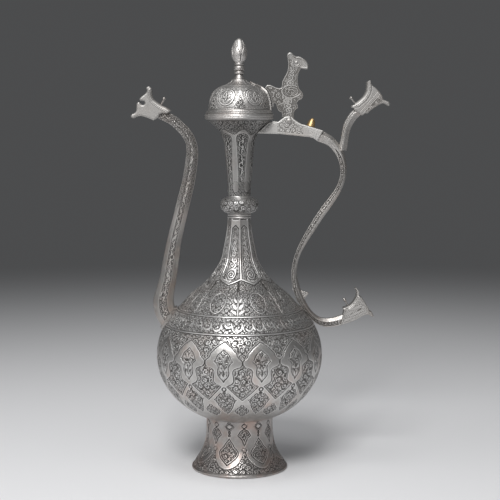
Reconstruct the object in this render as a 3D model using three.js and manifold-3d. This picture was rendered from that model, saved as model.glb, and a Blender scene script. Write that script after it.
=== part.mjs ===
// Ibrik ewer of tinned copper with a hinged domed lid, a bird thumbpiece and three dragon heads.
// Millimetres, +Z up. The spout points to -X, the handle to +X, and the foot stands on z = 0.
// The vessel's own axis is set off from x = 0, so that the origin is under the middle of the whole.

import * as THREE from 'three';
import { mergeVertices } from 'three/addons/utils/BufferGeometryUtils.js';
import Module from 'manifold-3d';

const wasm = await Module();
wasm.setup();

// Clearances, sheet thicknesses and the overrun that every cut shares
const fitGap = 0.3;
const vesselWall = 1.5;
const neckWall = 1.4;
const lidWall = 1.2;
const cutOverrun = 3;
const levelSlopeShare = 0.1;

// Foot: a spreading pedestal with a rolled wire at its edge
const footHeight = 52.6;
const footWaistRadius = 33.2;
const footRimRadius = 48.2;
const footEdgeInset = 1.3;
const footRimHeight = 3.2;
const footRimWidth = 5.2;
const footRimTurnShares = [-0.36, 0, 0.36];
const footFlareShares = [[0, 1], [0.1, 0.79], [0.22, 0.51], [0.41, 0.2], [0.65, 0.05], [1, 0]];

// Vessel: a bowl below the seam and a shoulder above it, on two half ellipses
const bellyRadius = 82.8;
const bowlDepth = 69;
const shoulderRise = 70.5;
const bowlSeatRadius = 33.7;
const seamRise = 23.9;
const shoulderHeight = 60.4;
const shoulderBreak = 25.4;
const shoulderOgeeShares = [[0.33, 0.3], [0.6, 0.64], [0.82, 0.86]];

// Neck: an eight-sided lower part, a collar, a bulging knop and a round upper part
const neckRootRadius = 24.5;
const lowerNeckHeight = 52.4;
const neckRadius = 11.2;
const lowerNeckShares = [[0, 1], [0.12, 0.7], [0.24, 0.49], [0.4, 0.35], [0.6, 0.19], [0.8, 0.07], [1, 0]];
const neckSides = 8;
const ridgeAngle = THREE.MathUtils.degToRad(4);
const facetFadeHeight = 14;
const collarHeight = 4.6;
const collarBead = 0.8;
const collarShares = [[0, 0], [0.25, 1], [0.5, 0], [0.75, 1], [1, 0]];
const knopHeight = 16.8;
const knopRadius = 19;
const knopShares = [[0, 0.03], [0.1, 0.5], [0.28, 0.88], [0.52, 1], [0.76, 0.88], [0.91, 0.5], [1, 0.03]];
const upperNeckHeight = 53.8;
const upperNeckTopRadius = 15.1;
const upperNeckShares = [[0, 0], [0.26, 0.1], [0.5, 0.4], [0.75, 0.66], [1, 1]];

// Mouth: a trumpet funnel with a moulded rim
const funnelHeight = 22.5;
const funnelRadius = 33;
const funnelShares = [[0, 0], [0.28, 0.14], [0.44, 0.21], [0.57, 0.37], [0.7, 0.54], [0.86, 0.76], [1, 1]];
const mouthRimHeight = 4.9;
const mouthRimRadius = 34;
const mouthBoreRadius = 29;
const mouthGroove = 0.6;
const mouthRimShares = [[0, 1], [0.3, 0], [0.45, 1], [0.6, 0], [1, 0.4]];

// Lid: a flange with a bezel under it, a dome and an acorn finial
const lidRadius = 33;
const flangeHeight = 3;
const flangeBore = 25;
const flangeShares = [[0, 0], [0.45, 0], [1, 0.6]];
const bezelRadius = 27;
const bezelDepth = 5;
const domeHeight = 31;
const domeRadius = 30.5;
const domeTopRadius = 6.8;
const domeShares = [
  [0, 1], [0.14, 0.985], [0.3, 0.96], [0.46, 0.9], [0.56, 0.84], [0.66, 0.72],
  [0.75, 0.55], [0.83, 0.28], [0.93, 0.07], [1, 0],
];
const stemHeight = 16.1;
const stemBallRadius = 5.4;
const stemShares = [
  [0, 1.05], [0.1, 0.86], [0.28, 0.63], [0.31, 0.86], [0.47, 0.86], [0.5, 0.72], [0.56, 0.96],
  [0.66, 1], [0.76, 0.96], [0.82, 0.72], [0.84, 0.84], [1, 0.84],
];
const tenonRadius = 1.5;
const tenonLength = 4;
const washerRadius = 4.4;
const washerThickness = 1.2;
const budHeight = 23.8;
const budRadius = 8;
const budShares = [
  [0, 0.62], [0.06, 0.66], [0.14, 0.8], [0.26, 0.96], [0.4, 1], [0.56, 0.95], [0.7, 0.82], [0.84, 0.62],
  [0.93, 0.42],
];

// Strap and bird: the leaf that grips the dome, and the plate that carries the hinge eye
const strapThickness = 1.7;
const strapLength = 26;
const strapWidth = 13;
const strapTipReach = 9;
const strapShares = [[0, 0], [0.14, 0.3], [0.27, 0.43], [0.38, 0.36], [0.48, 0.33], [0.7, 0.47], [1, 0.5]];
const birdHeight = 66.9;
const birdThickness = 3;
const birdShares = [
  [[0.07, 0.05], [0.07, 0.12], [0.1, 0.17], [0.13, 0.19], [0.13, 0.23], [0.11, 0.26]],
  [[0.14, 0.3], [0.19, 0.33], [0.206, 0.38], [0.19, 0.42], [0.15, 0.47]],
  [[0.13, 0.54], [0.126, 0.62], [0.14, 0.7], [0.17, 0.765]],
  [[0.21, 0.76], [0.27, 0.758], [0.281, 0.8], [0.26, 0.86], [0.21, 0.907], [0.15, 0.935], [0.1, 0.937]],
  [[0.067, 0.96], [0.045, 0.987], [0.006, 1], [-0.025, 0.98], [-0.033, 0.94]],
  [[-0.02, 0.88], [-0.016, 0.8], [-0.034, 0.71], [-0.07, 0.64], [-0.1, 0.58], [-0.11, 0.49]],
  [[-0.14, 0.475], [-0.2, 0.49], [-0.25, 0.514], [-0.29, 0.526], [-0.33, 0.52], [-0.354, 0.49]],
  [[-0.354, 0.44], [-0.31, 0.33], [-0.25, 0.194]],
  [[-0.227, 0.21], [-0.222, 0.26], [-0.195, 0.245], [-0.18, 0.19], [-0.15, 0.14], [-0.11, 0.13]],
  [[-0.105, 0.09], [-0.11, 0.05]],
];

// Hinge: a forked bracket on the funnel, the pin across it and the brass bud that stops the bird
const pinReach = 49.2;
const pinBelowMouth = 6.7;
const hingePinRadius = 1.5;
const pinHeadRadius = 2.6;
const pinHeadHeight = 1;
const hingeEyeRadius = 5.5;
const hingeSlotRadius = 10.4;
const hingeSideGap = 0.4;
const bracketWidth = 11;
const bracketRise = 57.4;
const bracketSpanShare = 0.54;
const bracketTopShares = [
  [[-0.53, -0.17], [-0.28, -0.005], [-0.19, -0.016]],
  [[-0.134, 0.026], [-0.08, 0.066], [-0.03, 0.077], [0.033, 0.066], [0.084, 0.026]],
  [[0.16, -0.026], [0.22, -0.056], [0.274, -0.07]],
  [[0.472, -0.131]],
];
const bracketUnderShares = [[0.42, -0.294], [0.34, -0.272], [0.26, -0.265], [-0.155, -0.223], [-0.53, -0.21]];
const budSeatShare = 0.366;
const stopBudRadius = 3.7;
const stopBudHeight = 8.6;
const stopBudShares = [[0, 1], [0.25, 0.97], [0.55, 0.78], [0.8, 0.52], [0.94, 0.26]];
const stopBudTenon = 3.5;

// Handle: a ridged bar in an S from the bracket to the shoulder, with a branch to the upper head
const handleOverhang = 20;
const handleFootRise = 7.6;
const handleWidth = 11.8;
const handleDepth = 8.4;
const handleTopBelowMouth = 21.5;
const handleShares = [
  [0.78, 0, 1], [0.877, 0.029, 0.8], [0.953, 0.078, 0.7], [0.998, 0.147, 0.58], [1, 0.206, 0.51],
  [0.969, 0.266, 0.5], [0.904, 0.327, 0.57], [0.838, 0.377, 0.63], [0.768, 0.432, 0.62],
  [0.698, 0.494, 0.6], [0.634, 0.552, 0.52], [0.572, 0.62, 0.44], [0.54, 0.68, 0.43],
  [0.532, 0.741, 0.48], [0.549, 0.8, 0.6], [0.579, 0.853, 0.66], [0.625, 0.903, 0.58],
  [0.697, 0.955, 0.5], [0.765, 0.986, 0.6], [0.838, 0.998, 0.72], [0.931, 0.994, 0.76],
  [1, 0.982, 0.78], [1.04, 0.974, 0.76],
];
const handleEdgeShares = [[-0.5, 0], [0.5, 0]];
const ridgedSectionShares = [
  [0.5, 0.2], [0.14, 0.5], [-0.5, 0.26], [-0.5, -0.26], [0.14, -0.5], [0.5, -0.2],
];
const branchRise = 42.3;
const branchReach = 19.2;
const branchWidth = 8.4;
const branchDepth = 8.4;
const branchRootShare = 0.105;
const branchShares = [
  [0, 0, 0.9], [0.02, 0.1, 0.96], [0.08, 0.25, 0.9], [0.13, 0.4, 0.9], [0.23, 0.576, 0.96],
  [0.39, 0.716, 1], [0.61, 0.845, 1.02], [0.83, 0.924, 1], [1, 1, 0.96],
];
const spurLength = 11;
const spurWidth = 8.6;
const spurThickness = 4;
const spurFootShare = 0.71;
const spurShares = [[[-0.5, 0.1], [-0.42, 0.4], [-0.2, 0.75], [0.02, 1]], [[0.2, 0.6], [0.5, 0.1]]];

// Heads: sheet-metal dragon heads in profile, with a curled horn, a jaw and two pins behind the brow
const headWidth = 13;
const headWall = 1.3;
const browPinRadius = 0.65;
const browPinLength = 7;
const browPinBall = 1.4;
const browPinDepth = 2;
const browPinSpread = 3;
const browPinSplayShare = 0.18;
const browPinTurnShares = [-0.3, 0, 0.3];
const spoutHeadLength = 39.5;
const spoutHeadHeight = 32.8;
const spoutHeadSocket = 14.5;
const spoutHeadDrop = 8;
const spoutHeadShares = [
  [[0, 0.29], [0.1, 0.37], [0.22, 0.44], [0.33, 0.53], [0.42, 0.62], [0.46, 0.71], [0.475, 0.82]],
  [[0.49, 0.95], [0.54, 1], [0.605, 0.96], [0.585, 0.9]],
  [[0.59, 0.82], [0.63, 0.775], [0.71, 0.7], [0.75, 0.64], [0.77, 0.58]],
  [[0.72, 0.57]],
  [[0.67, 0.57], [0.64, 0.515], [0.666, 0.465], [0.72, 0.46]],
  [[0.79, 0.527], [0.82, 0.506]],
  [[0.845, 0.4], [0.866, 0.265], [0.906, 0.21], [0.97, 0.175]],
  [[1, 0.125], [0.97, 0.07], [0.927, 0.06], [0.86, 0.104], [0.75, 0.125], [0.64, 0.095], [0.446, 0]],
  [[0.385, 0.03], [0.32, 0.095], [0.28, 0.174], [0.08, 0.21]],
];
const throatShares = [
  [0.2, 0.1], [0.32, 0.1], [0.75, 0.22], [0.95, 0.29], [0.95, 0.53], [0.6, 0.53], [0.36, 0.42], [0.2, 0.3],
];
const spoutPinShare = [0.25, 0.46];
const spoutPinLean = [-0.46, 0.89];
const upperHeadLength = 37.3;
const upperHeadHeight = 33.9;
const upperHeadSocket = 11;
const upperHeadDrop = 8;
const upperHeadShares = [
  [[0.054, 0.165], [0.06, 0.206], [0, 0.23], [0, 0.274], [0.06, 0.298]],
  [[0.12, 0.38], [0.214, 0.463], [0.303, 0.563], [0.362, 0.678], [0.386, 0.81], [0.386, 0.944]],
  [[0.437, 1], [0.483, 1]],
  [[0.507, 0.91], [0.544, 0.85], [0.62, 0.794], [0.694, 0.714], [0.756, 0.628], [0.804, 0.546]],
  [[0.818, 0.463], [0.863, 0.44], [0.973, 0.39]],
  [[1, 0.33], [0.98, 0.28], [0.895, 0.33], [0.818, 0.354], [0.729, 0.316], [0.517, 0.165]],
  [[0.458, 0.106], [0.426, 0.065], [0.367, 0.065]],
  [[0.276, 0]],
];
const upperPinShare = [0.1, 0.35];
const upperPinLean = [-0.63, 0.77];
const lowerHeadLength = 33.4;
const lowerHeadHeight = 37.7;
const lowerHeadSocket = 6;
const lowerHeadDrop = 6.9;
const lowerHeadShares = [
  [[0.105, 0.385], [0.075, 0.45], [0.15, 0.48]],
  [[0.243, 0.52], [0.332, 0.586], [0.425, 0.698], [0.47, 0.806], [0.461, 0.918], [0.422, 0.984]],
  [[0.452, 1], [0.515, 0.944], [0.551, 0.862], [0.545, 0.793]],
  [[0.638, 0.74], [0.731, 0.618], [0.805, 0.507], [0.862, 0.385]],
  [[0.946, 0.342], [1, 0.233]],
  [[0.916, 0.247], [0.826, 0.294], [0.734, 0.281], [0.611, 0.225], [0.488, 0.164], [0, 0]],
];
const lowerPinShare = [0.23, 0.515];
const lowerPinLean = [-0.5, 0.86];

// Spout: an eight-sided tapering tube, from an elbow on the shoulder to the spout head
const spoutInset = 6.9;
const spoutFootRise = 1.47;
const spoutAboveMouth = 2.07;
const spoutWidth = 20;
const spoutWall = 1.2;
const spoutShares = [
  [0.84, 0, 1.02], [0.925, 0.049, 1.04], [0.988, 0.095, 1.02], [1, 0.134, 1], [0.974, 0.181, 0.9],
  [0.942, 0.227, 0.84], [0.897, 0.321, 0.79], [0.852, 0.413, 0.71], [0.788, 0.506, 0.67],
  [0.723, 0.598, 0.65], [0.659, 0.69, 0.62], [0.62, 0.781, 0.6], [0.611, 0.83, 0.56],
  [0.632, 0.866, 0.52], [0.685, 0.902, 0.5], [0.76, 0.931, 0.49], [0.863, 0.963, 0.48],
  [0.97, 0.982, 0.47], [1.074, 1, 0.46],
];
const spoutCollarLength = 2.4;
const spoutCollarWidth = 1.3;
const spoutHoleRadius = 7.5;

// How finely round forms are cut into flats
const bodySegments = 32;
const neckSegments = 24;
const smallSegments = 16;
const pinSegments = 8;
const bowlSteps = 10;
const beltSteps = 3;
const shoulderSteps = 4;
const outlineSteps = 2;
const spoutSteps = 34;
const handleSteps = 40;
const branchSteps = 12;

// Heights of the stacked pieces, each standing on the one below it
const bellyHeight = footHeight + bowlDepth * Math.sqrt(1 - (bowlSeatRadius / bellyRadius) ** 2);
const seamHeight = bellyHeight + seamRise;
const neckRootHeight = seamHeight + shoulderHeight;
const neckCollarHeight = neckRootHeight + lowerNeckHeight;
const knopBaseHeight = neckCollarHeight + collarHeight;
const upperNeckBase = knopBaseHeight + knopHeight;
const funnelBase = upperNeckBase + upperNeckHeight;
const mouthRimBase = funnelBase + funnelHeight;
const mouthHeight = mouthRimBase + mouthRimHeight;
const lidBase = mouthHeight + fitGap;
const domeBase = lidBase + flangeHeight;
const finialBase = domeBase + domeHeight;
const budBase = finialBase + stemHeight;
const pinHeight = mouthHeight - pinBelowMouth;

// Reaches and rises that follow the vessel: the spout ends above the mouth, the handle's foot above the seam
const spoutReach = bellyRadius - spoutInset;
const spoutFootHeight = seamHeight + spoutFootRise;
const spoutRise = mouthHeight + spoutAboveMouth - spoutFootHeight;
const handleReach = bellyRadius + handleOverhang;
const handleDrop = mouthHeight - handleTopBelowMouth - seamHeight - handleFootRise;

// The bracket spans from the hinge to the handle's upper end, and the foot's sheet ends inside its rim
const bracketLength = (handleReach * handleShares[0][0] - pinReach) / bracketSpanShare;
const footBaseRadius = footRimRadius - footEdgeInset;

// Finishes
const tinnedCopper = { color: 0x96938c, roughness: 0.42, metalness: 0.9 };
const castMetal = { color: 0xa2a193, roughness: 0.45, metalness: 0.88 };
const brass = { color: 0xb8965a, roughness: 0.35, metalness: 0.92 };

// A geometry with positions only, its shared vertices joined and its empty triangles dropped
function welded(geometry) {
  const bare = new THREE.BufferGeometry();
  bare.setAttribute('position', geometry.attributes.position.clone());
  bare.setIndex(geometry.index);
  const joined = mergeVertices(bare);
  const kept = [];
  for (let i = 0; i < joined.index.count; i += 3) {
    const corners = [0, 1, 2].map((k) => joined.index.getX(i + k));
    if (new Set(corners).size === 3) kept.push(...corners);
  }
  joined.setIndex(kept);
  return joined;
}

function solid(geometry) {
  const joined = welded(geometry);
  return new wasm.Manifold(new wasm.Mesh({
    numProp: 3,
    vertProperties: Float32Array.from(joined.attributes.position.array),
    triVerts: Uint32Array.from(joined.index.array),
  }));
}

function geometryOf(body) {
  const mesh = body.getMesh();
  const geometry = new THREE.BufferGeometry();
  geometry.setAttribute('position', new THREE.BufferAttribute(mesh.vertProperties, 3));
  geometry.setIndex(new THREE.BufferAttribute(mesh.triVerts, 1));
  geometry.computeVertexNormals();
  return geometry;
}

function meshOf(name, shape, finish) {
  const geometry = shape instanceof wasm.Manifold ? geometryOf(shape) : shape;
  const mesh = new THREE.Mesh(geometry, new THREE.MeshStandardMaterial(finish));
  mesh.name = name;
  return mesh;
}

// A profile from height and radius shares: radii run from inner (share 0) to outer (share 1)
function profile(shares, base, height, inner, outer) {
  return shares.map(([up, out]) => new THREE.Vector2(inner + (outer - inner) * out, base + height * up));
}

// Turns a closed or axis-to-axis profile of radius and height about +Z; angle 0 faces -Y
function turned(points, segments = bodySegments, startAngle = 0) {
  return welded(new THREE.LatheGeometry(points, segments, startAngle).rotateX(Math.PI / 2));
}

// The same profile moved to the left of its direction of travel by an offset, ends kept in their planes
function offsetProfile(points, offset) {
  const sides = points.slice(1).map((p, i) => p.clone().sub(points[i]).normalize());
  const left = (d) => new THREE.Vector2(-d.y, d.x);
  return points.map((p, i) => {
    const before = sides[Math.max(i - 1, 0)];
    const after = sides[Math.min(i, sides.length - 1)];
    const normal = left(before).add(left(after)).normalize();
    const mitred = p.clone().addScaledVector(normal, offset / normal.dot(left(after)));
    if (i > 0 && i < points.length - 1) return mitred;
    const level = Math.abs(after.y) < levelSlopeShare * Math.abs(after.x);
    const slide = level ? (p.x - mitred.x) / after.x : (p.y - mitred.y) / after.y;
    return mitred.addScaledVector(after, slide);
  });
}

// A closed profile of sheet metal: up the outside and back down the inside
function sheetProfile(outside, wall) {
  return [...outside, ...offsetProfile(outside, wall).reverse(), outside[0]];
}

function ellipseProfile(fromHeight, toHeight, rise, steps) {
  return Array.from({ length: steps + 1 }, (_, i) => {
    const start = Math.asin((fromHeight - bellyHeight) / rise);
    const end = Math.asin((toHeight - bellyHeight) / rise);
    const angle = start + (end - start) * (i / steps);
    return new THREE.Vector2(bellyRadius * Math.cos(angle), bellyHeight + rise * Math.sin(angle));
  });
}

// A closed skin over rings of points, with a flat cap at each end
function skinned(rings) {
  const count = rings[0].length;
  const corners = rings.flat().flatMap((p) => [p.x, p.y, p.z]);
  const faces = [];
  for (let ring = 0; ring < rings.length - 1; ring++) {
    for (let i = 0; i < count; i++) {
      const a = ring * count + i;
      const b = ring * count + ((i + 1) % count);
      faces.push(a, a + count, b, b, a + count, b + count);
    }
  }
  const last = (rings.length - 1) * count;
  for (let i = 1; i < count - 1; i++) {
    faces.push(0, i, i + 1, last, last + i + 1, last + i);
  }
  const geometry = new THREE.BufferGeometry();
  geometry.setAttribute('position', new THREE.Float32BufferAttribute(corners, 3));
  geometry.setIndex(faces);
  geometry.computeVertexNormals();
  return geometry;
}

// A curve in the X-Z plane whose y coordinate carries the width of what runs along it
function widthCurve(shares, place, width) {
  const points = shares.map(([x, z, w]) => {
    const at = place(x, z);
    return new THREE.Vector3(at.x, w * width, at.y);
  });
  return new THREE.CatmullRomCurve3(points);
}

function sectionRing(curve, t, section, depthOf, grow, shift) {
  const at = curve.getPoint(t);
  const along = curve.getTangent(t).setY(0).normalize();
  const across = new THREE.Vector3(-along.z, 0, along.x);
  return section.map(([a, b]) => new THREE.Vector3(at.x, b * (depthOf(at.y) + 2 * grow), at.z)
    .addScaledVector(across, a * (at.y + 2 * grow))
    .addScaledVector(along, shift));
}

// A section swept along such a curve; grow widens it all round and extend lengthens both ends
function swept(curve, section, depthOf, steps, { grow = 0, extend = 0, from = 0, to = 1 } = {}) {
  const rings = Array.from({ length: steps + 1 }, (_, i) => (
    sectionRing(curve, from + (to - from) * (i / steps), section, depthOf, grow, 0)
  ));
  if (extend > 0) {
    rings.unshift(sectionRing(curve, from, section, depthOf, grow, -extend));
    rings.push(sectionRing(curve, to, section, depthOf, grow, extend));
  }
  return skinned(rings);
}

// A shape drawn as smooth stretches of shares, one after the other, through a placing function
function outline(stretches, place) {
  const shape = new THREE.Shape();
  const [first, ...rest] = stretches;
  shape.moveTo(place(...first[0]).x, place(...first[0]).y);
  shape.splineThru(first.slice(1).map(([u, v]) => place(u, v)));
  rest.forEach((stretch) => {
    shape.lineTo(place(...stretch[0]).x, place(...stretch[0]).y);
    if (stretch.length > 1) shape.splineThru(stretch.slice(1).map(([u, v]) => place(u, v)));
  });
  return shape;
}

// A plate standing in the X-Z plane, centred on y = 0
function plate(shape, thickness) {
  const settings = { depth: thickness, bevelEnabled: false, curveSegments: outlineSteps };
  return new THREE.ExtrudeGeometry(shape, settings)
    .rotateX(Math.PI / 2)
    .translate(0, thickness / 2, 0);
}

// A rod between two points
function rod(from, to, radius, segments = pinSegments) {
  const span = to.clone().sub(from);
  const upright = new THREE.Vector3(0, 1, 0);
  const turn = new THREE.Quaternion().setFromUnitVectors(upright, span.clone().normalize());
  return new THREE.CylinderGeometry(radius, radius, span.length(), segments)
    .applyQuaternion(turn)
    .translate(...from.clone().add(to).multiplyScalar(0.5));
}

// Vessel and foot
function foot() {
  const rise = footHeight - footRimHeight;
  const outside = profile(footFlareShares, footRimHeight, rise, footWaistRadius, footBaseRadius);
  return turned(sheetProfile(outside, vesselWall));
}

function footRim() {
  const inner = footRimRadius - footRimWidth;
  const roll = footRimHeight / 2;
  const arc = footRimTurnShares.map((turn) => new THREE.Vector2(
    footRimRadius - roll + roll * Math.cos(turn * Math.PI),
    roll + roll * Math.sin(turn * Math.PI),
  ));
  const flat = new THREE.Vector2(footRimRadius - roll, 0);
  const start = new THREE.Vector2(inner, 0);
  const top = [footRimRadius - roll, inner].map((r) => new THREE.Vector2(r, footRimHeight));
  return turned([start, flat, ...arc, ...top, start]);
}

function bowlOutside() {
  return [
    new THREE.Vector2(0, footHeight),
    ...ellipseProfile(footHeight, bellyHeight, bowlDepth, bowlSteps),
    ...ellipseProfile(bellyHeight, seamHeight, shoulderRise, beltSteps).slice(1),
  ];
}

function shoulderOutside() {
  const breakHeight = seamHeight + shoulderBreak;
  const arc = ellipseProfile(seamHeight, breakHeight, shoulderRise, shoulderSteps);
  const broken = arc[arc.length - 1].x;
  const ogee = shoulderOgeeShares.map(([up, inward]) => new THREE.Vector2(
    broken - (broken - neckRootRadius) * inward,
    breakHeight + (neckRootHeight - breakHeight) * up,
  ));
  return [...arc, ...ogee, new THREE.Vector2(neckRootRadius, neckRootHeight)];
}

// The space that the vessel takes up, let out by a gap, for cutting what is seated on it
function vesselEnvelope(gap) {
  const outside = [...bowlOutside(), ...shoulderOutside().slice(1)];
  const grown = offsetProfile(outside, -gap);
  const top = new THREE.Vector2(0, grown[grown.length - 1].y);
  return solid(turned([...grown, top]));
}

function shoulder() {
  return solid(turned(sheetProfile(shoulderOutside(), vesselWall))).subtract(spoutHole());
}

// Neck
const facetFactor = (angle) => {
  const side = (2 * Math.PI) / neckSides;
  const turn = ((((angle - ridgeAngle) % side) + side) % side) - side / 2;
  return Math.cos(side / 2) / Math.cos(turn);
};

function lowerNeck() {
  const outside = profile(lowerNeckShares, neckRootHeight, lowerNeckHeight, neckRadius, neckRootRadius);
  const geometry = turned(sheetProfile(outside, neckWall), neckSegments, ridgeAngle);
  const corners = geometry.attributes.position;
  for (let i = 0; i < corners.count; i++) {
    const fade = Math.min((corners.getZ(i) - neckRootHeight) / facetFadeHeight, 1);
    const factor = 1 + fade * (facetFactor(Math.atan2(corners.getX(i), -corners.getY(i))) - 1);
    corners.setXY(i, corners.getX(i) * factor, corners.getY(i) * factor);
  }
  return geometry;
}

function neckCollar() {
  const bore = neckRadius - neckWall;
  const beads = profile(collarShares, neckCollarHeight, collarHeight, neckRadius, neckRadius + collarBead);
  const inside = [knopBaseHeight, neckCollarHeight].map((z) => new THREE.Vector2(bore, z));
  return turned([...beads, ...inside, beads[0]], neckSegments);
}

function neckKnop() {
  const outside = profile(knopShares, knopBaseHeight, knopHeight, neckRadius, knopRadius);
  return turned(sheetProfile(outside, neckWall), neckSegments);
}

function upperNeck() {
  const outside = profile(upperNeckShares, upperNeckBase, upperNeckHeight, neckRadius, upperNeckTopRadius);
  return turned(sheetProfile(outside, neckWall), neckSegments);
}

const funnelOutside = profile(funnelShares, funnelBase, funnelHeight, upperNeckTopRadius, funnelRadius);

function mouthFunnel() {
  return turned(sheetProfile(funnelOutside, neckWall));
}

function mouthRim() {
  const grooved = mouthRimRadius - mouthGroove;
  const edge = profile(mouthRimShares, mouthRimBase, mouthRimHeight, mouthRimRadius, grooved);
  const inside = [mouthHeight, mouthRimBase].map((z) => new THREE.Vector2(mouthBoreRadius, z));
  return turned([...edge, ...inside, edge[0]]);
}

// Lid
function lidFlange() {
  const edge = profile(flangeShares, lidBase, flangeHeight, lidRadius, domeRadius);
  const inside = [domeBase, lidBase].map((z) => new THREE.Vector2(flangeBore, z));
  return turned([...edge, ...inside, edge[0]]);
}

const ringShares = [[0, 1], [1, 1], [1, 0], [0, 0], [0, 1]];

function lidBezel() {
  return turned(profile(ringShares, lidBase - bezelDepth, bezelDepth, bezelRadius - lidWall, bezelRadius));
}

const domeOutside = profile(domeShares, domeBase, domeHeight, domeTopRadius, domeRadius);

function lidDome() {
  const hole = new THREE.Vector2(tenonRadius + fitGap, finialBase);
  return turned(sheetProfile([...domeOutside, hole], lidWall));
}

// The dome let out by a gap, down to a height above the flange
function domeEnvelope(gap, bottom) {
  const grown = offsetProfile(domeOutside, -gap);
  const foot = [new THREE.Vector2(0, bottom), new THREE.Vector2(grown[0].x, bottom)];
  const top = new THREE.Vector2(0, finialBase + gap);
  return solid(turned([...foot, ...grown.slice(1), top]));
}

function finialStem() {
  const tenonBase = finialBase - tenonLength;
  const tenon = [new THREE.Vector2(0, tenonBase), new THREE.Vector2(tenonRadius, tenonBase),
    new THREE.Vector2(tenonRadius, finialBase)];
  const turnings = profile(stemShares, finialBase, stemHeight, 0, stemBallRadius);
  return turned([...tenon, ...turnings, new THREE.Vector2(0, budBase)], smallSegments);
}

function finialWasher() {
  const base = finialBase - lidWall - washerThickness;
  const bore = tenonRadius + fitGap;
  return turned(profile(ringShares, base, washerThickness, bore, washerRadius), smallSegments);
}

function finialBud() {
  const side = profile(budShares, budBase, budHeight, 0, budRadius);
  const ends = [budBase, budBase + budHeight].map((z) => new THREE.Vector2(0, z));
  return turned([ends[0], ...side, ends[1]], smallSegments);
}

function lidStrap() {
  const bottom = domeBase + fitGap;
  const shell = domeEnvelope(fitGap + strapThickness, bottom)
    .subtract(domeEnvelope(fitGap, bottom - cutOverrun));
  const edge = strapShares.map(([along, across]) => new THREE.Vector2(
    strapTipReach + strapLength * along,
    strapWidth * across,
  ));
  const mirrored = edge.slice(1).reverse().map((p) => new THREE.Vector2(p.x, -p.y));
  const leaf = new THREE.ExtrudeGeometry(new THREE.Shape([...edge, ...mirrored]), {
    depth: domeHeight + cutOverrun, bevelEnabled: false,
  }).translate(0, 0, bottom);
  return shell.intersect(solid(leaf));
}

const birdPlace = (u, v) => new THREE.Vector2(pinReach + u * birdHeight, pinHeight + v * birdHeight);
const bracketPlace = (u, v) => new THREE.Vector2(pinReach + u * bracketLength, pinHeight + v * bracketRise);

function pinHole(radius, length) {
  const ends = [-0.5, 0.5].map((half) => new THREE.Vector3(pinReach, half * length, pinHeight));
  return solid(rod(ends[0], ends[1], radius, smallSegments));
}

function bird() {
  return solid(plate(outline(birdShares, birdPlace), birdThickness))
    .add(pinHole(hingeEyeRadius, birdThickness))
    .subtract(pinHole(hingePinRadius + fitGap, birdThickness + cutOverrun))
    .subtract(domeEnvelope(strapThickness + 2 * fitGap, domeBase));
}

// Hinge bracket, pin and stop
const handlePlace = (x, drop) => new THREE.Vector2(
  handleReach * x,
  mouthHeight - handleTopBelowMouth - handleDrop * drop,
);
const handleCurve = widthCurve(handleShares, handlePlace, handleWidth);
const handleDepthOf = () => handleDepth;

function bracket() {
  const [under, over] = sectionRing(handleCurve, 0, handleEdgeShares, handleDepthOf, 0, -fitGap);
  const shape = outline(bracketTopShares, bracketPlace);
  shape.lineTo(over.x, over.z);
  shape.lineTo(under.x, under.z);
  bracketUnderShares.map(([u, v]) => bracketPlace(u, v)).forEach((p) => shape.lineTo(p.x, p.y));
  const slotWidth = birdThickness + 2 * hingeSideGap;
  const seat = stopBudSeat();
  return solid(plate(shape, bracketWidth))
    .subtract(solid(turned([
      new THREE.Vector2(0, funnelBase),
      ...offsetProfile(funnelOutside, -fitGap),
      new THREE.Vector2(0, mouthRimBase),
    ])))
    .subtract(pinHole(hingeSlotRadius, slotWidth))
    .subtract(pinHole(hingePinRadius + fitGap, bracketWidth + cutOverrun))
    .subtract(solid(rod(
      seat.at.clone().addScaledVector(seat.up, -stopBudTenon - fitGap),
      seat.at.clone().addScaledVector(seat.up, cutOverrun),
      tenonRadius + fitGap,
      smallSegments,
    )));
}

function hingePin() {
  const half = bracketWidth / 2 + fitGap;
  const head = half + pinHeadHeight;
  const turnings = [
    [0, -head], [pinHeadRadius, -head], [pinHeadRadius, -half], [hingePinRadius, -half],
    [hingePinRadius, half], [pinHeadRadius, half], [pinHeadRadius, head], [0, head],
  ].map(([r, z]) => new THREE.Vector2(r, z));
  return new THREE.LatheGeometry(turnings, smallSegments).translate(pinReach, 0, pinHeight);
}

// Where the stop bud stands on the sloping top of the bracket
function stopBudSeat() {
  const slope = [bracketTopShares[2][2], bracketTopShares[3][0]];
  const [from, to] = slope.map(([u, v]) => bracketPlace(u, v));
  const along = to.clone().sub(from).normalize();
  const reach = budSeatShare * bracketLength + pinReach - from.x;
  const at = from.clone().addScaledVector(along, reach / along.x);
  return { at: new THREE.Vector3(at.x, 0, at.y), up: new THREE.Vector3(-along.y, 0, along.x) };
}

function stopBud() {
  const tenon = [[0, -stopBudTenon], [tenonRadius, -stopBudTenon], [tenonRadius, fitGap]];
  const side = stopBudShares.map(([up, out]) => [stopBudRadius * out, fitGap + stopBudHeight * up]);
  const turnings = [...tenon, ...side, [0, fitGap + stopBudHeight]].map(([r, z]) => new THREE.Vector2(r, z));
  return turned(turnings, smallSegments);
}

// Handle
const handleSolid = (grow) => solid(swept(
  handleCurve, ridgedSectionShares, handleDepthOf, handleSteps, { grow },
));

function handleBar() {
  return handleSolid(0).subtract(vesselEnvelope(fitGap));
}

const branchRoot = sectionRing(handleCurve, branchRootShare, handleEdgeShares, handleDepthOf, 0, 0)[1];
const branchPlace = (x, z) => new THREE.Vector2(
  branchRoot.x + branchReach * x,
  branchRoot.z + branchRise * z,
);
const branchCurve = widthCurve(branchShares, branchPlace, branchWidth);
const branchSolid = (grow) => solid(swept(
  branchCurve, ridgedSectionShares, () => branchDepth, branchSteps, { grow },
));

function handleBranch() {
  return branchSolid(0).subtract(handleSolid(fitGap));
}

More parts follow.
